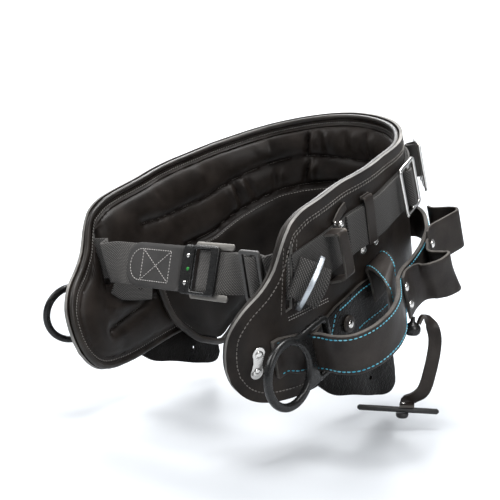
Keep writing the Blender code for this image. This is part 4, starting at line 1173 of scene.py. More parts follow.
# %% Seams of the shell
THREAD_OUT = SHELL_OUT + 0.25 * MM
loop = whole_loop(11.0 * MM, 900)
loop.append(loop[0])
row = belt_row(loop, THREAD_OUT)
seam("shell_stitching", [row], 4.4, 3.5, 1.2, "thread")
upper = [(p.x, p.y) for p in inset_line(14.2 * MM) if p.y > 24 * MM and p.x < 440 * MM]
upper = [(-a, h) for a, h in reversed(upper)] + upper[1:]
row = belt_row(upper, THREAD_OUT)
seam("shell_second_row", [row], 4.4, 3.5, 1.2, "thread", slant=0.5)
rows = []
for side in (1.0, -1.0):
    for shift in (-9.5, 9.5):
        path = [(side * (SLOT_AT + shift * MM - SLOT_LEAN * h * MM), h * MM)
                for h in range(-31, 34, 4)]
        rows.append(belt_row(path, THREAD_OUT))
seam("slot_stitching", rows, 4.2, 3.1, 0.8, "thread")
print("shell seams are sewn")

# %% [markdown]
# ## Padded lining
# The lining is garment leather over foam. It is flat where it is sewn to the
# rim, swells between its seams, and is pulled down into a groove along each
# quilted line. The bend at the back crowds the leather into upright folds.
# A cloth simulation could swell it, but the seams and the folds have to lie where
# the photograph shows them, so the thickness at each vertex is worked out from
# its distance to the nearest seam and fold.

# %% Quilted lines and folds
QUILTS = [
    [(-320, 7.5), (-263, -2.5), (-200, -6), (-142, -1), (-103, 1.5), (-55, 3), (0, -4), (39, -6),
     (103, 1.5), (142, -1), (200, -6), (263, -2.5), (320, 7.5)],
    [(-268, -45), (-219, -50), (-154, -42), (-99, -34.5), (-60, -33.5), (0, -34.5), (60, -33.5),
     (99, -34.5), (154, -42), (219, -50), (268, -45)],
    [(-434, -74), (-390, -76.5), (-346, -75)],
    [(434, -74), (390, -76.5), (346, -75)],
]
QUILT_STEP = 1.5 * MM
# Folds of the lining: from (along, height) to (along, height), half width, depth; minus sinks
FOLDS = [
    (-42, 42, -52, 3, 3.4, -8.0), (-36, 42, -45, 4, 5.0, 3.4), (-50, -3, -62, -30, 3.2, -8.0),
    (-43, -3, -50, -26, 5.0, 7.0), (-78, -36, -84, -62, 6.0, 6.0), (-70, -36, -75, -66, 3.4, -7.0),
    (-169, -6, -166, -36, 5.0, 4.4), (-160, -6, -156, -34, 3.4, -4.6), (-150, -6, -143, -34, 5.0, 4.2),
    (-140, -6, -134, -30, 3.2, -3.4), (-30, 38, -30, 12, 4.0, -3.2), (-18, 40, -20, 8, 6.0, 3.2),
    (8, 42, 6, 12, 4.0, -2.8), (24, 40, 22, 10, 7.0, 3.0), (44, 36, 46, 8, 4.4, -4.0),
    (56, 40, 58, 4, 6.5, 3.8), (-92, -8, -96, -30, 5.0, 2.6), (-101, -8, -104, -28, 3.0, -2.6),
    (120, -5, 124, -30, 6.0, 3.6), (150, -6, 146, -30, 5.0, 3.2), (-122, 46, -112, 22, 7.0, 2.0),
    (-100, 44, -98, 18, 5.0, -2.2), (70, -8, 66, -30, 6.0, 4.6), (84, -8, 80, -30, 3.6, -4.0),
    (-285, 40, -279, 12, 6.0, -1.8), (-200, 40, -188, 14, 6.0, -1.6), (-214, 38, -206, 16, 6.0, 1.6),
    (-395, -40, -352, -62, 5.0, 2.6), (-400, -50, -360, -74, 3.2, -2.6), (-430, -46, -404, -62, 4.0, 2.2),
]


def dense_line(rows):
    """A smooth quilted line with a place every step."""
    points = [Vector((x * MM, y * MM, 0.0)) for x, y in rows]
    return spline(points, max(3, int(length_of(points) / QUILT_STEP)))


QUILT_LINES = [dense_line(rows) for rows in QUILTS]
QUILT_SPOTS = np.array([(p.x, p.y) for line in QUILT_LINES for p in line])
FOLD_ROWS = np.array(FOLDS) * MM


def seam_distance(along, height, spots):
    """Distance to the nearest of the spots."""
    return float(np.sqrt(np.min((spots[:, 0] - along) ** 2 + (spots[:, 1] - height) ** 2)))


def folded(along, height):
    """How far the folds push the lining out at one place."""
    a = FOLD_ROWS[:, 0:2]
    run = FOLD_ROWS[:, 2:4] - a
    spot = np.array([along, height]) - a
    share = np.clip((spot * run).sum(1) / (run ** 2).sum(1), 0.0, 1.0)
    off = np.linalg.norm(spot - run * share[:, None], axis=1)
    fade = 0.35 + 0.65 * np.sin(np.pi * np.clip(share, 0.02, 0.98)) ** 0.7
    return float((FOLD_ROWS[:, 5] * fade * np.exp(-(off / FOLD_ROWS[:, 4]) ** 2)).sum())


print("quilted lines:", len(QUILT_LINES), "and folds:", len(FOLDS))

# %% Padded lining
LINING_INSET = 6.6 * MM
LINING_BACK = SHELL_OUT - SHELL_THICK - 0.3 * MM
SEAM_IN, LIP_IN, FOAM_FROM = 3.2 * MM, 6.6 * MM, 8.0 * MM
FLANGE, FOAM, THINNEST = 4.6 * MM, 9.4 * MM, 2.5 * MM
lining_limits = Limits(LINING_INSET)
RIM_SPOTS = np.array([(p.x, p.y) for p in inset_line(LINING_INSET)])
SLOT_SPOTS = np.array([(SLOT_AT - SLOT_LEAN * h * MM + d * MM, h * MM)
                       for h in range(-31, 32, 2) for d in (-4.5, 4.5)])


def pillow(distance, reach):
    """Height of a padded wall from 0 at its seam to 1 at the reach, with a round shoulder."""
    share = min(1.0, max(0.0, distance / reach))
    return math.sqrt(max(0.0, 1.0 - (1.0 - share) ** 2))


def lining_thick(along, height):
    """A sunk seam and a lip at the rim, and foam with folds and creases inside them."""
    edge = seam_distance(abs(along), height, RIM_SPOTS)
    quilt = seam_distance(along, height, QUILT_SPOTS)
    slot = seam_distance(abs(along), height, SLOT_SPOTS)
    lip = 1.5 * MM * math.exp(-((edge - LIP_IN) / (1.1 * MM)) ** 2)
    sunk = 1.1 * MM * math.exp(-((edge - SEAM_IN) / (1.3 * MM)) ** 2)
    flange = FLANGE + 0.6 * MM * pillow(edge, 2.5 * MM) - sunk
    rise = pillow(edge - FOAM_FROM, 24 * MM)
    rise *= 0.22 + 0.78 * pillow(quilt - 0.9 * MM, 15 * MM)
    rise *= 0.45 + 0.55 * pillow(slot - 2 * MM, 20 * MM)
    body = FOAM * rise
    fold = folded(along, height) * min(1.0, max(0.0, (edge - 7 * MM) / (10 * MM)))
    fold *= 0.3 + 0.7 * min(1.0, quilt / (5 * MM))
    creases = ripple(along, height, 60.0, 0.5 * MM) + ripple(along, height, 26.0, 0.9 * MM)
    return max(THINNEST, flange + lip + body + fold + creases * rise)


print("lining is", round(lining_thick(0.05, 0.02) / MM, 1), "mm thick beside the back")

# %% Padded faces
def keep_spot(spots, along, height, out):
    """A place on the belt, noted so that its vertex can be found again."""
    spot = on_belt(along, height, out)
    spots[tuple(round(c, 7) for c in spot)] = (along, height)
    return spot


def close_flat(item, spots, out):
    """Close a padded face with Solidify and press the wall's other side flat at out."""
    fronts = [vert.co.copy() for vert in item.data.vertices]
    modify(item, "SOLIDIFY", thickness=2 * MM, offset=-1.0)
    for index, spot in enumerate(fronts):
        along, height = spots[tuple(round(c, 7) for c in spot)]
        item.data.vertices[index + len(fronts)].co = on_belt(along, height, out)


def padded_row(path, back, thick, lift):
    """A seam on a padded face, lifted from it in millimetres."""
    line = [on_belt(a, h, back - thick(a, h) - lift * MM) for a, h in path]
    return line, [face_of(a, h) * -1.0 for a, h in path]


print("padded faces can be closed")

# %% Lining, bent and thickened
# The grid has two cells where the shell has one.
lining_columns = wing_columns(lining_limits.reach, 2.4, 34)
lining_spots = {}


def lining_place(column, row):
    """A grid point of the lining's face."""
    along, height = wing_spot(column, row, lining_limits)
    return keep_spot(lining_spots, along, height, LINING_BACK - lining_thick(along, height))


lining = bent_grid("quilted_lining", lining_columns, [k / 2 for k in range(2 * ROWS + 1)],
                   lining_place, slot_hole(lining_columns, 2))
close_flat(lining, lining_spots, LINING_BACK)
dress(lining, "lining", nodes=["lining_pad"], smooth_angle=70.0)
print("lining:", len(lining.data.polygons), "faces")

# %% Seams of the lining
rim = whole_loop(LINING_INSET + SEAM_IN, 900)
rim.append(rim[0])
rows = [padded_row(rim, LINING_BACK, lining_thick, 0.35)]
seam("lining_rim_stitching", rows, 3.3, 3.0, 1.1, "rim_thread",
     slant=0.6)
rows = [padded_row([(p.x, p.y) for p in line], LINING_BACK, lining_thick, 0.45)
        for line in QUILT_LINES]
seam("quilt_stitching", rows, 3.4, 2.5, 0.9, "thread")
print("lining seams are sewn")

# %% [markdown]
# ## Inner pad
# Inside the small of the back hangs a second pad, cut from the same leather. Its
# lower edge dips at the hips. A piped cord runs round it, two rows of thread
# hold the cord down, and a third follows the upper edge. It is shaped as the
# lining is, by the distance to its seams.

# %% Inner pad
PAD_BACK = LINING_BACK - 14.6 * MM
PAD_TOP = -50 * MM
PAD_LINE = ([0, 60, 99, 154, 219, 268, 338], [-37, -36, -37, -45, -53.5, -48, -50])
PAD_END = 338 * MM
PAD_ROWS = 26
CORD, CORD_IN = 4.0 * MM, 4.9 * MM


def pad_top(along):
    """The pad's sewn upper edge dips between the bends of the back."""
    return float(np.interp(abs(along) / MM, *PAD_LINE)) * MM


pad_shares = [math.sin(math.pi / 2 * k / 80) for k in range(81)]
pad_half = [Vector((PAD_END * s, inner_low(PAD_END * s), 0.0)) for s in pad_shares]
pad_half += [Vector((PAD_END, PAD_TOP - (40 - 4 * k) * MM * 0.97, 0.0)) for k in range(1, 10)]
pad_edge = even([Vector((-p.x, p.y, 0.0)) for p in reversed(pad_half)] + pad_half[1:], 500)
PAD_SPOTS = np.array([(p.x, p.y) for p in pad_edge])


def pad_thick(along, height):
    """A hem at the top, two grooves beside the cord, and foam between them."""
    edge = seam_distance(along, height, PAD_SPOTS) - CORD
    top = max(0.0, pad_top(along) - height)
    rise = pillow(edge - 11 * MM, 20 * MM) * pillow(top - 2.6 * MM, 26 * MM)
    groove = 0.9 * MM * (math.exp(-((edge - 3.0 * MM) / (1.0 * MM)) ** 2)
                         + math.exp(-((edge - 10 * MM) / (1.3 * MM)) ** 2))
    creases = ripple(along + 1.0, height, 30.0, 0.8 * MM) * rise
    hem = 1.6 * MM * (1.0 - pillow(top, 3.0 * MM))
    return max(2 * MM, 4.6 * MM + 4.2 * MM * rise - groove - hem + creases)


def pad_spot(column, row):
    """(along, height) of a grid point; the lowest row keeps clear of the cord."""
    end = max(0.0, (abs(column) - 326 * MM) / (9 * MM))
    low = inner_low(column) + min(11 * MM, CORD_IN * (1.0 + 1.2 * end))
    if abs(column) < 300 * MM:
        slope = (inner_low(abs(column) + 3 * MM) - inner_low(abs(column) - 3 * MM)) / (6 * MM)
        low = inner_low(column) + CORD_IN * math.hypot(1.0, slope)
    return column, low + (pad_top(column) - low) * row / PAD_ROWS


half = [4.7 * MM * k for k in range(69)] + [328 * MM, 331 * MM, 333.4 * MM]
pad_columns = [-v for v in reversed(half) if v > 0.0] + half
pad_spots = {}


def pad_place(column, row):
    """A grid point of the pad's face."""
    along, height = pad_spot(column, row)
    return keep_spot(pad_spots, along, height, PAD_BACK - pad_thick(along, height))


pad = bent_grid("inner_back_pad", pad_columns, list(range(PAD_ROWS + 1)), pad_place)
close_flat(pad, pad_spots, PAD_BACK)
modify(pad, "SUBSURF", levels=1, render_levels=1, boundary_smooth="PRESERVE_CORNERS")
# The pad's finish is the lining's leather with painted shade.
dress(pad, "pad", nodes=["inner_pad"], smooth_angle=70.0)
print("inner pad:", len(pad.data.polygons), "faces")

# %% Cord and seams of the inner pad
line = [on_belt(p.x, p.y, PAD_BACK - CORD - 0.2 * MM) for p in pad_edge]
piping = bar("pad_piping", line, CORD)
dress(piping, "binding", nodes=["inner_pad_piping"], smooth_angle=60.0)
path = [(5.0 * MM * k, pad_top(5.0 * MM * k) - 2.2 * MM) for k in range(-64, 65)]
rows = [padded_row(path, PAD_BACK, pad_thick, 0.35)]
for inset in (7.0, 14.0):
    path = moved_line(pad_edge, -inset * MM, 0.2 * MM)
    rows.append(padded_row(path, PAD_BACK, pad_thick, 0.2))
seam("pad_stitching", rows, 3.8, 2.8, 0.85, "thread")
print("the pad has", len(rows), "rows of thread")

# %% [markdown]
# ## Webbing
# Woven polyester webbing carries the load. A long strap lies round the outside
# from slot to slot, a shorter one doubles it over the back, and grey webbing
# comes through the slots to the buckle. The weave follows the strap, so the
# material reads the strap's own UV map, which is laid out in metres.

# %% Webbing round the outside
UP = TILT @ Vector((0.0, 0.0, 1.0))


def belt_climb(along, height=0.0):
    """Direction up the belt's face."""
    span = 20 * MM
    return (on_belt(along, height + span, 0.0) - on_belt(along, height - span, 0.0)).normalized()


def slot_axis(side):
    """Direction along a slot, which leans toward the front at its foot."""
    rise = 20 * MM
    foot = on_belt(side * (SLOT_AT + SLOT_LEAN * rise), -rise, 0.0)
    head = on_belt(side * (SLOT_AT - SLOT_LEAN * rise), rise, 0.0)
    return (head - foot).normalized()


def web(name, route, thick, finish, nodes):
    """A strap of webbing in one finish."""
    item = strap(name, route, thick, edge=0.45 * MM)
    return dress(item, finish, finish, nodes, 50.0)


stations = [-390 + 10 * k for k in range(79)]
route = Route([on_belt(a * MM, 0.0, SHELL_OUT + 1.5 * MM) for a in stations],
              [slot_axis(-1)] + [belt_climb(a * MM) for a in stations[1:-1]] + [slot_axis(1)],
              45 * MM, 260)
web("outer_webbing", route, 2.4 * MM, "black_web", ["outer_web"])
stations = [-303 + 303 * k / 30 for k in range(61)]
route = Route([on_belt(a * MM, 0.0, SHELL_OUT + 4.6 * MM) for a in stations],
              [belt_climb(a * MM) for a in stations], 43 * MM, 200)
web("back_webbing", route, 2.4 * MM, "black_web", ["back_web"])
print("outer webbing is laid")

# %% Webbing at the front
FRONT = -140 * MM
LEAN = ([-108, -95, -76, 56, 80, 108, 113], [0, -17, -34, -34, -7, -7, 0])


def lean_at(x):
    """Turn of the front line: the buckle leans back, and the webbing twists on both sides."""
    return math.radians(float(np.interp(x, *LEAN)))


def front(x, back=0.0, up=0.0):
    """A place at the front, in millimetres: across, behind the front line, up."""
    turn = lean_at(x)
    y = back * math.cos(turn) - up * math.sin(turn)
    z = back * math.sin(turn) + up * math.cos(turn)
    return TILT @ Vector((x * MM, FRONT + y * MM, z * MM))


def front_up(x):
    """Direction across the webbing at the front."""
    return TILT @ Vector((0.0, -math.sin(lean_at(x)), math.cos(lean_at(x))))


def slot_webbing(name, side, spots, turns, wide, count, nodes):
    """Webbing in through a slot and along the front; its twist is read at the turns."""
    points = [on_belt(side * SLOT_AT, 0.0, out * MM) for out in (7.2, -4, -16)]
    points += [front(*spot) for spot in spots]
    lean = slot_axis(side)
    across = [lean] * 3 + [lean.lerp(UP, 0.7)] + [front_up(x) for x in turns]
    route = Route(points, across, wide, count)
    web(name, route, 2.4 * MM, "grey_web", nodes)
    print(name, "is", round(route.length, 3), "m long")


spots = [(-108, -4.5), (-95, 0), (-86, 0), (-76, 0), (-60, 0), (-40, 0), (-15, 0)]
slot_webbing("webbing_right", -1, spots, [x for x, y in spots[1:]], 45 * MM, 140,
             ["front_web_right"])

# %% Webbing round the buckle's pin
# The left webbing comes from its slot over the slider, goes round the pin, and
# its end passes back through the slider.
PIN, PIN_ROUND = 29.0, 4.2
spots = [(112, 2.0), (104, 5.2), (92, 5.2), (80, 5.2), (74, 5.2), (68, 5.2), (62, 5.2), (56, 5.2),
         (44, 4.8), (PIN, PIN_ROUND)]
for k in range(1, 6):
    angle = math.pi * k / 6
    spots.append((PIN - PIN_ROUND * math.sin(angle), PIN_ROUND * math.cos(angle)))
spots += [(PIN, -PIN_ROUND), (44, -4.2), (50, -4.2), (56, -3.4), (62, -2.0), (68, 0.4), (74, 2.0),
          (82, 2.0), (86.5, 1.2), (90.6, -2.6), (95, -4.7), (99.4, -2.6), (103, 1.2)]
slot_webbing("webbing_left", 1, spots, [max(PIN, x) for x, y in spots[1:]], 42 * MM, 340,
             ["front_web_left"])

# %% Webbing of the inner pad
ends = [(-402, -30), (-390, -44), (-370, -55), (-349, -65)]
points = [on_belt(a * MM, h * MM, SHELL_OUT - SHELL_THICK - 15.8 * MM) for a, h in ends]
across = []
for i in range(4):
    run = (points[min(i + 1, 3)] - points[max(i - 1, 0)]).normalized()
    across.append(run.cross(TILT @ Vector((1.0, 0.1, 0.0))).normalized())
route = Route(points, across, 22 * MM, 40)
web("pad_webbing", route, 2.0 * MM, "black_web", ["pad_strap"])
print("pad webbing is", round(route.length, 3), "m long")

# %% [markdown]
# ## Front buckle
# A leather tab folds round the end of the right webbing. Beside it stands a latch
# plate with two rivets and a green mark, and a black frame takes the left webbing
# round its pin. Two steel ears stand behind the frame, above and below. The whole
# buckle leans back, so every part is placed on the leaning front line. Plates with
# windows could be cut with booleans. They are flat curves with a bevel, made
# meshes, because such a curve keeps its corners round in the opening too.

# %% Leather tab
def front_seat(across, ahead, up=0.0):
    """Axes of a front fitting: X to the viewer's right, Y up, Z to the front."""
    axes = Matrix(((1, 0, 0), (0, 0, -1), (0, 1, 0))).to_4x4()
    line = Matrix.Translation((across * MM, FRONT, 0.0))
    line = line @ Matrix.Rotation(lean_at(across), 4, "X")
    place = line @ Matrix.Translation((0.0, -ahead * MM, up * MM)) @ axes
    return TILT.to_4x4() @ place


def rounded_end(distance, half, radius):
    """Share of a strap's width that is left near a round end."""
    if distance >= radius:
        return 1.0
    arc = math.sqrt(max(0.0, radius ** 2 - (radius - distance) ** 2))
    return (half - radius + arc) / half


TAB_HALF = 23.5 * MM
TAB_SIDE = [(-75, -3), (-50, -3), (-25, -3), (-10, -3), (-1.0, -3.0), (1.4, -1.9)]
TAB_LINE = TAB_SIDE + [(2.0, 0)] + [(x, -y) for x, y in reversed(TAB_SIDE)]
tab_route = Route([front(x, y) for x, y in TAB_LINE], [front_up(0)] * len(TAB_LINE),
                  2 * TAB_HALF, 400)


def tab_shape(u, v):
    """Both ends of the folded tab are round."""
    near = min(u, 1.0 - u) * tab_route.length
    return 0.0, rounded_end(near, TAB_HALF, 19 * MM)


tab = strap("buckle_tab", tab_route, 3 * MM, 12, 130, tab_shape, 0.55 * MM)
dress(tab, "tab", "tab", ["leather_tab"], 50.0)
print("tab:", len(tab.data.polygons), "faces")

# %% Seams of the tab
TAB_THREAD = 4.65
SEAM_LEFT, SEAM_RIGHT, SEAM_UP = -52.5, -13, 16.5


def front_row(places):
    """A seam on the tab's face from (across, up) places in millimetres."""
    line = spline([front(x, -TAB_THREAD, z) for x, z in places], len(places) * 6)
    out = front_up(0).cross(Vector((1.0, 0.0, 0.0))) * -1.0
    return line, [out] * len(line)


def straight(a, b, count=6):
    """Places on a straight line from a to b."""
    return [(a[0] + (b[0] - a[0]) * k / count, a[1] + (b[1] - a[1]) * k / count)
            for k in range(count + 1)]


arc = [(SEAM_LEFT - 2.5 - 14.5 * math.sin(math.pi * k / 12), SEAM_UP * math.cos(math.pi * k / 12))
       for k in range(13)]
box = [(SEAM_LEFT, SEAM_UP), (SEAM_LEFT, -SEAM_UP), (SEAM_RIGHT, -SEAM_UP), (SEAM_RIGHT, SEAM_UP)]
centre = (SEAM_LEFT + SEAM_RIGHT) / 2
cross = [(x + math.copysign(1.5, centre - x), math.copysign(SEAM_UP - 1.5, z)) for x, z in box]
rows = [front_row([box[0]] + arc + [box[1]])]
rows += [front_row(straight(*ends)) for ends in
         ((box[0], box[1]), (box[0], box[3]), (box[3], box[2]), (box[2], box[1]),
          (cross[0], cross[2]), (cross[1], cross[3]))]
seam("tab_stitching", rows, 3.4, 2.6, 1.05, "pale_thread", sink=0.0)
print("tab seams:", len(rows), "rows")

# %% Latch plate
LATCH = front_seat(11.4, 3.0)
latch = flat_plate("latch_plate_shaped", [rounded(14.8, 50, 4)], 4, 1.1, LATCH)
dress(latch, "forged", nodes=["latch_plate"])
for name, up in (("latch_rivet_upper", 14), ("latch_rivet_lower", -14)):
    rivet(name, LATCH @ Matrix.Translation((0, up * MM, 2 * MM)), 2.2, 0.8)
place = LATCH @ Matrix.Translation((2 * MM, 0.5 * MM, 2 * MM))
mark = turned("lock_window", dome(1.8, 0.5), place)
dress(mark, "green", nodes=["lock_mark"])
print("latch:", len(latch.data.polygons), "faces")

# %% Frame, pin, ears and slider
window = rounded(22.4, 42.4, 2.5, at=(-3.2, 0.0))
holder = flat_plate("buckle_frame_shaped", [rounded(36, 50.4, 4.5), window], 4.6, 1.5,
                    front_seat(37.1, 8.2))
dress(holder, "forged", nodes=["buckle_frame"])
pin = bar("buckle_pin", [front(PIN, 0, up) for up in (-25.2, -24, 24, 25.2)], 2.5 * MM)
dress(pin, "forged", nodes=["buckle_bar"])
for name, up in (("steel_ear_upper", 25.4), ("steel_ear_lower", -25.4)):
    ear = flat_plate(name + "_shaped", [rounded(50, 7, 3.3)], 2.2, 0.6, front_seat(45.5, 4.6, up))
    dress(ear, "dull_steel", nodes=[name])
windows = [rounded(6.5, 45.2, 1.2, at=(x, 0.0)) for x in (-5.25, 5.25)]
slide = flat_plate("web_slider", [rounded(25, 54, 3.2)] + windows, 3.6, 1.0, front_seat(95, 1.4))
dress(slide, "grey_metal", nodes=["strap_slider"])
print("buckle parts are in place")

# %% [markdown]
# ## Dees and rivet plates
# Each dee is one forging: a round eye for a snap hook, and beside it a frame
# whose slot takes the leather hanger. A torus joined to a box would need a
# boolean and a fillet. A thick flat curve with a wide bevel gives the eye its
# round section and leaves the web beside it flat.

# %% Dees
EYE_OUT, EYE_IN = 35, 27
DEE_OUTLINE = [(EYE_OUT * math.cos(math.radians(a)), EYE_OUT * math.sin(math.radians(a)))
               for a in range(56, 305, 4)]
DEE_OUTLINE += [(30, -29.3), (40, -29.6), (58, -29.3), (63, -28.3), (66, -25.6), (67, -21.5),
                (67, 21.5), (66, 25.6), (63, 28.3), (58, 29.3), (40, 29.6), (30, 29.3)]
DEE_HOLES = [circle(EYE_IN), rounded(22, 46, 3, at=(49, 0.0))]


def dee(name, place, nodes):
    """The forged ring with its slotted frame."""
    item = flat_plate(name, [DEE_OUTLINE] + DEE_HOLES, 7, 2.9, place, 6)
    return dress(item, "forged", nodes=nodes, smooth_angle=60.0)


left = seat(386.5 * MM, -71 * MM, 34 * MM) @ Matrix.Rotation(math.radians(3.5), 4, "Y")
dee("forged_dee_left", left @ Matrix.Translation((-64 * MM, 0, 0)), ["dee_ring_left"])
right = seat(-367 * MM, -58 * MM, 17 * MM) @ Matrix.Rotation(math.radians(-26), 4, "Y")
mirror = Matrix.Translation((64 * MM, 0, 0)) @ Matrix.Scale(-1.0, 4, (1.0, 0.0, 0.0))
dee("forged_dee_right", right @ mirror, ["dee_ring_right"])
print("dees are forged")

# %% Hanger of the right dee
# A leather strap climbs from the belt through the dee's slot and down again.
low = SHELL_OUT / MM + 0.45 + 2.25
high = low + 4.2
places = [(438, low), (414, low), (402, low + 3), (391, 18.5), (381, 23.3), (373, 25.9),
          (365, 24.8), (354, 19), (340, high + 1), (315, high)]
route = Route([on_belt(-a * MM, -58 * MM, out * MM) for a, out in places],
              [belt_climb(-a * MM, -58 * MM) for a, out in places], 40 * MM, 90)
hanger = leather_strap("dee_hanger_shaped", route, 4.5 * MM, 8, None, ["dee_hanger_right"],
                       0.8 * MM)
rows = [strap_row(route, v, -2.4 * MM, sign=-1.0) for v in (-0.42, 0.42)]
seam("hanger_stitching", rows, 4.6, 3.3, 1.1, "teal_thread")
print("hanger:", len(hanger.data.polygons), "faces")

# %% Rivet plates
def figure_eight(radius, apart, waist):
    """Outline of two round lobes joined by a narrower waist, in millimetres."""
    points = []
    for sign, start in ((1.0, 0.0), (-1.0, 180.0)):
        for k in range(21):
            angle = math.radians(start - 30 + 12 * k)
            points.append((radius * math.cos(angle), sign * apart + radius * math.sin(angle)))
        points.append((-waist if sign > 0.0 else waist, 0.0))
    return points


for name, side in (("left", 1.0), ("right", -1.0)):
    place = seat(side * 456 * MM, -64 * MM, SHELL_OUT + 1.3 * MM)
    foot = on_belt(side * 463 * MM, -81 * MM, SHELL_OUT)
    head = on_belt(side * 449 * MM, -47 * MM, SHELL_OUT)
    rise = (place.inverted() @ head) - (place.inverted() @ foot)
    place = place @ Matrix.Rotation(-math.atan2(rise.x, rise.y), 4, "Z")
    place = place @ Matrix.Rotation(math.atan2(rise.z, rise.y), 4, "X")
    plate = flat_plate("rivet_plate_shaped_" + name, [figure_eight(7.0, 9.5, 5.0)], 1.6, 0.5,
                       place)
    dress(plate, "nickel", nodes=["rivet_plate_" + name])
    for end, up in (("upper", 9 * MM), ("lower", -9 * MM)):
        rivet("plate_rivet_" + name + "_" + end, place @ Matrix.Translation((0, up, 0.8 * MM)),
              4.2, 1.6, "plate_rivet_head_" + name + "_" + end)
print("rivet plates are set")

# %% [markdown]
# ## Tool aprons
# Below the belt hang two aprons of strap leather that keep tools off the leg.
# Each is a bent grid with a raw edge. The punched hole is cut by a round cutter,
# as the real one is, and teal thread marks the seams.

# %% Tool aprons
APRON_LOW = [(250, -186), (253, -203), (264, -209), (300, -195), (343, -169), (372, -152),
             (395, -125)]
APRON_IN = SHELL_OUT + 0.8 * MM
APRON_THICK = 3.5 * MM
APRON_ROWS = 40


def apron_limits(along):
    """Lowest and highest place of the apron at one length."""
    low = smooth(APRON_LOW, along / MM) * MM
    top = -60 * MM - 14 * MM * max(0.0, (along - 343 * MM) / (52 * MM))
    return low, top


def apron_swell(along, height):
    """The leather stands a little proud where it hangs free below the body."""
    free = max(0.0, (-142 * MM - height) / (60 * MM))
    return 0.9 * MM * noise.noise(Vector((along * 34, height * 30, 9.0))) * min(1.0, 2 * free)


apron_columns = [250 * MM + 14 * MM * (k / 10) ** 1.6 for k in range(10)]
apron_columns += [264 * MM + 131 * MM * k / 44 for k in range(45)]


def apron_spot(side, column, row):
    """A place on the outer face of the left or right apron."""
    low, top = apron_limits(column)
    height = low + (top - low) * row / APRON_ROWS
    return on_belt(side * column, height, APRON_IN + APRON_THICK + apron_swell(column, height))


for name, side in (("left", 1.0), ("right", -1.0)):
    apron = bent_grid("hip_apron_" + name, apron_columns, list(range(APRON_ROWS + 1)),
                      lambda column, row: apron_spot(side, column, row), flip=side > 0.0)
    thicken(apron, APRON_THICK, -1.0, 0.7 * MM, 3)
    bpy.ops.mesh.primitive_cylinder_add(vertices=28, radius=2.6 * MM, depth=30 * MM)
    punch = bpy.context.object
    punch.data.transform(seat(side * 300 * MM, -172 * MM, APRON_IN))
    modify(apron, "BOOLEAN", operation="DIFFERENCE", solver="EXACT", object=punch)
    bpy.data.objects.remove(punch, do_unlink=True)
    # The apron's finish darkens the leather with painted shade of the pocket under the band.
    dress(apron, "gloss", "suede", ["tool_apron_" + name], 40.0)
    print(name, "apron:", len(apron.data.polygons), "faces")
    apron_out = APRON_IN + APRON_THICK + 0.2 * MM
    rows = [belt_row([(side * (262 + 6 * k) * MM, -66.0 * MM) for k in range(14)], apron_out),
            belt_row([(side * (250 + 5 * k) * MM, -104.5 * MM) for k in range(13)], apron_out),
            belt_row([(side * (346 + k) * MM, -(66.5 + 1.6 * k) * MM) for k in range(0, 24, 3)],
                     apron_out)]
    seam("apron_stitching_" + name, rows, 4.8, 4.1, 1.5, "teal_thread")

# %% [markdown]
# ## Tool band and loops
# A thick stitched band stands off the left hip and makes a pocket between
# itself and the body. Its upper edge is raw and furry. A divider strap bridges
# the pocket, and two plain loops stand behind it. Each could be drawn as a face
# and extruded upward. A strap along a route keeps its width square to the leather
# where the band comes off the body.

# %% Tool band
BAND_ROUTE = [(139, -157), (149, -149.5), (163, -146.5), (181, -147.5), (198, -141), (208, -122),
              (210, -95), (204, -68), (193, -46), (182, -27), (176, -6), (174, 18), (168, 48),
              (157, 82), (142, 110), (124, 134), (106, 147)]
BAND_HIGH = -70.5


def level(x, y, z):
    """A place given in millimetres on the level belt."""
    return TILT @ Vector((x * MM, y * MM, z * MM))


clear = SHELL_OUT + 2.95 * MM
points = [on_belt(438 * MM, BAND_HIGH * MM, clear), on_belt(427 * MM, BAND_HIGH * MM, clear)]
points += [level(x, y, BAND_HIGH) for x, y in BAND_ROUTE]
points += [on_belt(98 * MM, BAND_HIGH * MM, clear), on_belt(80 * MM, BAND_HIGH * MM, clear)]
across = [belt_climb(438 * MM, BAND_HIGH * MM), belt_climb(427 * MM, BAND_HIGH * MM)]
across += [UP] * len(BAND_ROUTE) + [belt_climb(90 * MM, BAND_HIGH * MM)] * 2
band_route = Route(points, across, 41 * MM, 320)


def band_shape(u, v):
    """Slow unevenness of a bent hide."""
    return 0.4 * MM * noise.noise(Vector((u * 22, v * 3, 5.0))), 1.0


band = leather_strap("stitched_tool_band", band_route, 4.5 * MM, 12, 190, ["tool_band"],
                     0.8 * MM, band_shape)
rows = [strap_row(band_route, v, 2.45 * MM, 0.01, 0.99) for v in (-0.415, 0.415)]
seam("band_stitching", rows, 4.9, 4.1, 1.35, "teal_thread")
print("tool band:", len(band.data.polygons), "faces")

# %% Divider
DIVIDER = [(145.3, -5.4, -84), (144.6, -5.4, -61), (143.6, -5.4, -54), (142.4, -5.4, -48),
           (144.2, -5.8, -43.8), (151, -8.5, -43.6), (162, -16, -45.2), (171.5, -25.5, -47),
           (177, -32.5, -54), (177, -33, -84), (177, -33, -106)]
at_wing = TILT @ Vector((0.084, 0.983, 0.16))
at_band = TILT @ Vector((-0.40, 0.915, 0.0))
across = [at_wing.lerp(at_band, min(1.0, max(0.0, (i - 4) / 4))) for i in range(len(DIVIDER))]
wide = [value * MM for value in (30, 30, 30, 31, 31, 34, 39, 44, 47, 38, 6)]
divider_route = Route([level(*row) for row in DIVIDER], across, wide, 140, skew=True)
divider = leather_strap("divider_strap_shaped", divider_route, 3.2 * MM, 10, 70,
                        ["divider_strap"], 0.6 * MM)
rows = [strap_row(divider_route, v, 1.75 * MM, 0.28, 0.72) for v in (-0.42, 0.42)]
seam("divider_stitching", rows, 4.6, 3.8, 1.3, "teal_thread")
print("divider:", len(divider.data.polygons), "faces")

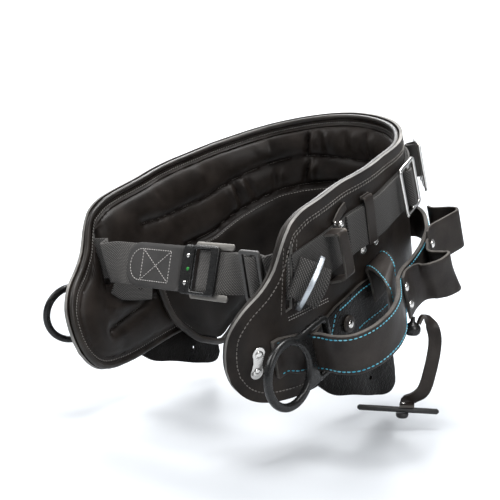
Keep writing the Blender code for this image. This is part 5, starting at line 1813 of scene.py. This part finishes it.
# %% Tool loops
LOOP_FRONT = [(185.9, -25), (180.9, -6), (184, 10), (196, 17), (204, 27), (206, 40), (198, 46),
              (184, 46), (172, 55), (167, 65)]
LOOP_REAR = [(165.2, 70), (161, 86), (168, 112), (172, 128), (168, 135), (158, 136),
             (140, 132.5), (131, 137)]
slant = (TILT @ Vector((0.0, -0.3, 1.0))).normalized()
across = [UP, UP.lerp(slant, 0.5)] + [slant] * 6 + [UP] * 2
route = Route([level(x, y, -75) for x, y in LOOP_FRONT], across, 48 * MM, 160)
leather_strap("holster_loop_front", route, 3 * MM, 8, 80, ["tool_loop_front"], 0.7 * MM)
route = Route([level(x, y, -68) for x, y in LOOP_REAR], [UP] * 8, 46 * MM, 140)
leather_strap("holster_loop_rear", route, 3 * MM, 8, 70, ["tool_loop_rear"], 0.7 * MM)
print("both loops stand behind the band")

# %% Rivets of the loops
spots = [("loop_rivet_upper", (187.7, -23.5, -62)), ("loop_rivet_lower", (186.7, -19.5, -84)),
         ("loop_rivet_rear", (165.8, 76, -62))]
for name, (x, y, z) in spots:
    turn = Matrix.Rotation(0.2, 4, "Z") @ Matrix.Rotation(math.pi / 2, 4, "Y")
    rivet(name, TILT.to_4x4() @ Matrix.Translation((x * MM, y * MM, z * MM)) @ turn, 4.9, 2.3)
print("loops are riveted")

# %% [markdown]
# ## T-bar strap
# A narrow strap hangs from a swivel under the front loop, twists a quarter turn
# and is riveted to a black bar. The swivel and the washer are turned, because
# they are round, and the strap follows a route with its own direction across at
# each point, because it twists.

# %% T-bar strap
# TBAR_ROUTE is on the level belt, and TBAR_FOOT is along, ahead of and above the bar.
TBAR_ROUTE = [(190, 22.3, -107.2), (193, 25, -99.5), (198, 28, -103), (203, 30.5, -114),
              (205, 30, -129), (203, 25, -154), (198.5, 18.5, -176)]
TBAR_FOOT = [(11, -6.5, 8.5), (9.5, -3.5, 5.2), (8.5, 1.0, 4.7), (8, 5.5, 4.7)]
bar_middle = Vector((180 * MM, 0.6 * MM, -194.5 * MM))
bar_aim = Vector((0.777, 0.629, -0.06)).normalized()
ahead = Vector((0.629, -0.777, 0.0))
bar_up = bar_aim.cross(ahead * -1.0).normalized()
bar_up = bar_up if bar_up.z > 0.0 else bar_up * -1.0
points = [Vector((x * MM, y * MM, z * MM)) for x, y, z in TBAR_ROUTE]
for x, y, z in TBAR_FOOT:
    points.append(bar_middle + bar_aim * x * MM + ahead * y * MM + bar_up * z * MM)
beside = Vector((0.777, 0.629, 0.0))
across = [ahead, ahead, (ahead - beside) * 0.5] + [beside * -1.0] * 8
wide = [12 * MM] * 3 + [13.5 * MM] * 5 + [15 * MM] * 3
route = Route(points, across, wide, 120)
leather_strap("tbar_strap_shaped", route, 2.6 * MM, 6, 60, ["tbar_strap"], 0.6 * MM)
print("T-bar strap is", round(route.length, 3), "m long")

# %% T-bar, its washer and its swivel
ends = [bar_middle + bar_aim * (x * MM) for x in (-42, -41.4, -40, 40, 41.4, 42)]
rod = bar("tbar_rod", ends, 3.0 * MM)
for vert in rod.data.vertices:
    along = (vert.co - bar_middle).dot(bar_aim)
    middle = bar_middle + bar_aim * along
    left_over = 42 * MM - abs(along)
    if left_over < 1.8 * MM:
        vert.co = middle + (vert.co - middle) * (0.42 + 0.32 * left_over / MM)
dress(rod, "matte_metal", nodes=["tbar"], smooth_angle=50.0)
head = bar_middle + bar_aim * 4.5 * MM
rivet("tbar_rivet", Matrix.Translation(head + bar_up * 6.5 * MM), 3.4, 1.4)
rows = [(4.6, -5), (5.6, -4.4), (6.4, -2.8), (6.5, -0.6), (6.1, 0)]
washer = turned("tbar_washer_shaped", rows, Matrix.Translation(head - bar_up * 3.3 * MM))
dress(washer, "matte_metal", nodes=["tbar_washer"])
rows = [(3, -7), (5.6, -6.6), (7.6, -4.6), (8.5, -2), (8.5, 0.5), (7.6, 3.4), (5.4, 5.4),
        (3.4, 6.5), (2.4, 8), (2.4, 12.6)]
knot = turned("swivel_shaped", rows, Matrix.Translation((185 * MM, 19 * MM, -112.5 * MM)))
dress(knot, "forged", nodes=["strap_knot"])
print("T-bar hangs from its swivel")

# %% [markdown]
# ## Fittings on the left wing
# Webbing gathered over the straight side of a zinc ring holds the ring upright. A
# short leather strap makes a hood over the webbing, and a keeper with two rivets
# and a collar stud follow it. Cloth simulation could gather the webbing, but its
# two pillows and their pleats are few and have known places, so a function of
# the place along and across the strap pushes them out.

# %% Ring
# The ring lies in the plane of two directions: toward the round end, and down.
toward = Vector((0.626, -0.773, 0.105)).normalized()
hang = Vector((-0.226, -0.404, -0.887))
hang = (hang - toward * hang.dot(toward)).normalized()
ring_face = toward.cross(hang).normalized()
ring_bar = on_belt(378.2 * MM, -13.2 * MM, 14.8 * MM)


def ring_outline(half, corner, back):
    """A straight bar, two round corners and a round arm, as an outline in millimetres."""
    arm = half - corner
    points = []
    for k in range(9):
        angle = math.radians(180 - 90 * k / 8)
        points.append((back + corner * (1 + math.cos(angle)), arm + corner * math.sin(angle)))
    for k in range(1, 36):
        angle = math.radians(90 - 180 * k / 36)
        points.append((back + corner + half * math.cos(angle), half * math.sin(angle)))
    for k in range(9):
        angle = math.radians(90 + 90 * k / 8)
        points.append((back + corner * (1 + math.cos(angle)), -arm - corner * math.sin(angle)))
    return points


place = Matrix((toward, hang, ring_face)).transposed().to_4x4()
place.translation = ring_bar
ring = flat_plate("zinc_ring", [ring_outline(28.3, 8.0, -2.1), ring_outline(24.1, 4.0, 2.1)],
                  4.7, 0.8, place, 4)
dress(ring, "zinc", nodes=["accessory_ring"])
print("ring:", len(ring.data.polygons), "faces")

# %% Webbing gathered round the ring's bar
# PUFF_LINE is in the belt's own directions there, forward and outward from the bar.
outward = toward * 0.666 + ring_face * 0.748
forward = toward * 0.748 - ring_face * 0.666
PUFF_LINE = [(21.0, -3.2), (21.6, 0.8), (14.0, 4.6), (5.5, 4.4), (-4.0, 4.2), (-12.0, 4.2),
             (-21.0, 0.6), (-24.0, -3.1)]
points = [ring_bar + forward * x * MM + outward * y * MM for x, y in PUFF_LINE]
flat = (outward * -0.155 - hang).normalized()
route = Route(points, [flat, flat] + [hang * -1.0] * 4 + [flat, flat], 38 * MM, 120, skew=True)


def gathered(u, v):
    """Round pillows on both sides of the bar, with pleats on the side away from the slot."""
    left = math.exp(-((u - 0.26) / 0.11) ** 2)
    right = math.exp(-((u - 0.74) / 0.14) ** 2)
    round_end = 1.0 - (2 * v) ** 2 * 0.9
    pleat = 1.1 * MM * math.cos((u - 0.62) * 52.0 + 1.2 * v) * right
    return (3.6 * left + 4.8 * right) * MM * round_end + pleat, 1.0 + 0.04 * (left + right)


fold = strap("gathered_webbing", route, 2.4 * MM, 16, 80, gathered, 0.4 * MM)
dress(fold, "black_web", "black_web", ["web_fold"], 60.0)
print("ring webbing:", len(fold.data.polygons), "faces")

# %% Hood and keeper
HOOD_AT, KEEPER_AT = 335 * MM, 266 * MM
WEB_FACE = 10.42


def run_along(along):
    """Direction round the belt."""
    return (on_belt(along + 5 * MM, 0, 0) - on_belt(along - 5 * MM, 0, 0)).normalized()


hood_line = [(-0.3, 20), (13, 21.5), (16.5, 17.5), (18.5, -17), (15, -27), (-2.9, -33)]
points = [on_belt(HOOD_AT, high * MM, (WEB_FACE + lift) * MM) for lift, high in hood_line]
route = Route(points, [run_along(HOOD_AT)] * 6, 14 * MM, 120)
leather_strap("web_hood", route, 2.8 * MM, 6, 60, ["hood_strap"])
keeper_line = [(31.2, 9.2), (28.6, 9.6), (24.6, 14.32), (-22, 14.32)]
points = [on_belt(KEEPER_AT, high * MM, out * MM) for high, out in keeper_line]
route = Route(points, [run_along(KEEPER_AT)] * 4, 14 * MM, 80)
leather_strap("web_keeper", route, 1.6 * MM, 6, 40, ["keeper_strap"])
for name, along in (("keeper_rivet_front", 276), ("keeper_rivet_rear", 254)):
    rivet(name, seat(along * MM, -27.2 * MM, SHELL_OUT), 4.6, 2.2)
print("hood and keeper hold the webbing")

# %% Stud and washer
strip_line = [(323.5, 23.5, 11.0), (312, 29.5, 10.4), (297, 32, 9.0)]
points = [on_belt(along * MM, high * MM, out * MM) for along, high, out in strip_line]
route = Route(points, [TILT @ Vector((0.0, 0.5, 0.87))] * 3, 9 * MM, 40)
leather_strap("stud_leather", route, 1.8 * MM, 4, 20, ["stud_strip"])
rows = [(2.6, 0), (2.3, 0.6), (2.0, 2.5), (2.4, 3.4)]
for k in range(10):
    angle = math.radians(-40 + 125 * k / 9)
    rows.append((3.6 * math.cos(angle), 5.4 + 3.1 * math.sin(angle)))
stud = turned("collar_stud", rows, seat(323.5 * MM, 24 * MM, 12.3 * MM))
dress(stud, "nickel", nodes=["stud"], smooth_angle=60.0)
rows = [(9.0, 0), (9.0, 1.2), (8.6, 2.0), (8.0, 2.4), (5.5, 2.4)]
washer = turned("leather_washer", rows, seat(329 * MM, -88 * MM, 12.2 * MM), 40)
dress(washer, "strap", nodes=["rivet_washer"])
rivet("washer_rivet", seat(329 * MM, -88 * MM, 14.6 * MM), 4.2, 1.8)
print("stud and washer are set")

# %% [markdown]
# ## Back buckles
# Two wire sliders stand off the back webbing on its left half. Each is a wire
# frame with a bar, round which a fold of webbing holds it. A pipe along a closed
# path would make the frame, but not its bar, so it is a flat curve with two
# openings and a bevel as wide as the wire's half.

# %% Back buckles
# Name, length round the belt, distance out, half width and half height of the
# frame, place and half width of the webbing's bar, and depth of the fold.
SLIDERS = [("front", 183, 18.8, 23.0, 28.0, 0.0, 3.0, 3.2),
           ("rear", 121, 25.0, 20.0, 30.0, 17.5, 2.5, 9.8)]
for name, along, out, half_wide, half_high, bar_at, bar_half, drop in SLIDERS:
    place = seat(along * MM, 3 * MM, out * MM)
    outline = [rounded(2 * half_wide, 2 * half_high, 6)]
    middle = (half_wide - 2) / 2
    for side in (-1.0, 1.0):
        outline.append(rounded(half_wide - 8, 2 * half_high - 9, 3, at=(side * middle, 0.0)))
    slider = flat_plate("wire_slider_" + name, outline, 3.6, 1.75, place, 5)
    dress(slider, "nickel", nodes=["back_buckle_" + name], smooth_angle=60.0)
    half = bar_half + 1.6
    fold = [(-half + 0.8, 3.2), (half - 0.8, 3.2), (half + 0.9, 0.0), (half - 0.8, -drop),
            (-half + 0.8, -drop), (-half - 0.9, 0.0)]
    points = [place @ Vector(((bar_at + x) * MM, 0.0, z * MM)) for x, z in fold]
    up = [place.to_3x3() @ Vector((0.0, 1.0, 0.0))] * 6
    route = Route(points, up, 40 * MM, 90, closed=True)
    held = strap("slider_webbing_" + name, route, 2.4 * MM, 8, 48, edge=0.4 * MM)
    dress(held, "black_web", "black_web", ["buckle_web_" + name], 60.0)
print("back buckles are set")

# %% [markdown]
# ## Sewn patch
# Where the ring's webbing is sewn to the body, a pale double seam runs under it.
# It is placed like the other seams, in the belt's own coordinates.

# %% Sewn patch
PATCH_FROM, PATCH_RUN = (409, -39), (-61, -10)
rows = []
for shift in (-1.6, 1.6):
    path = [((PATCH_FROM[0] + PATCH_RUN[0] * k / 12) * MM,
             (PATCH_FROM[1] + PATCH_RUN[1] * k / 12 + shift) * MM) for k in range(13)]
    rows.append(belt_row(path, SHELL_OUT + 0.3 * MM))
seam("patch_stitching", rows, 3.2, 2.4, 1.0, "pale_thread")
print("patch is sewn")
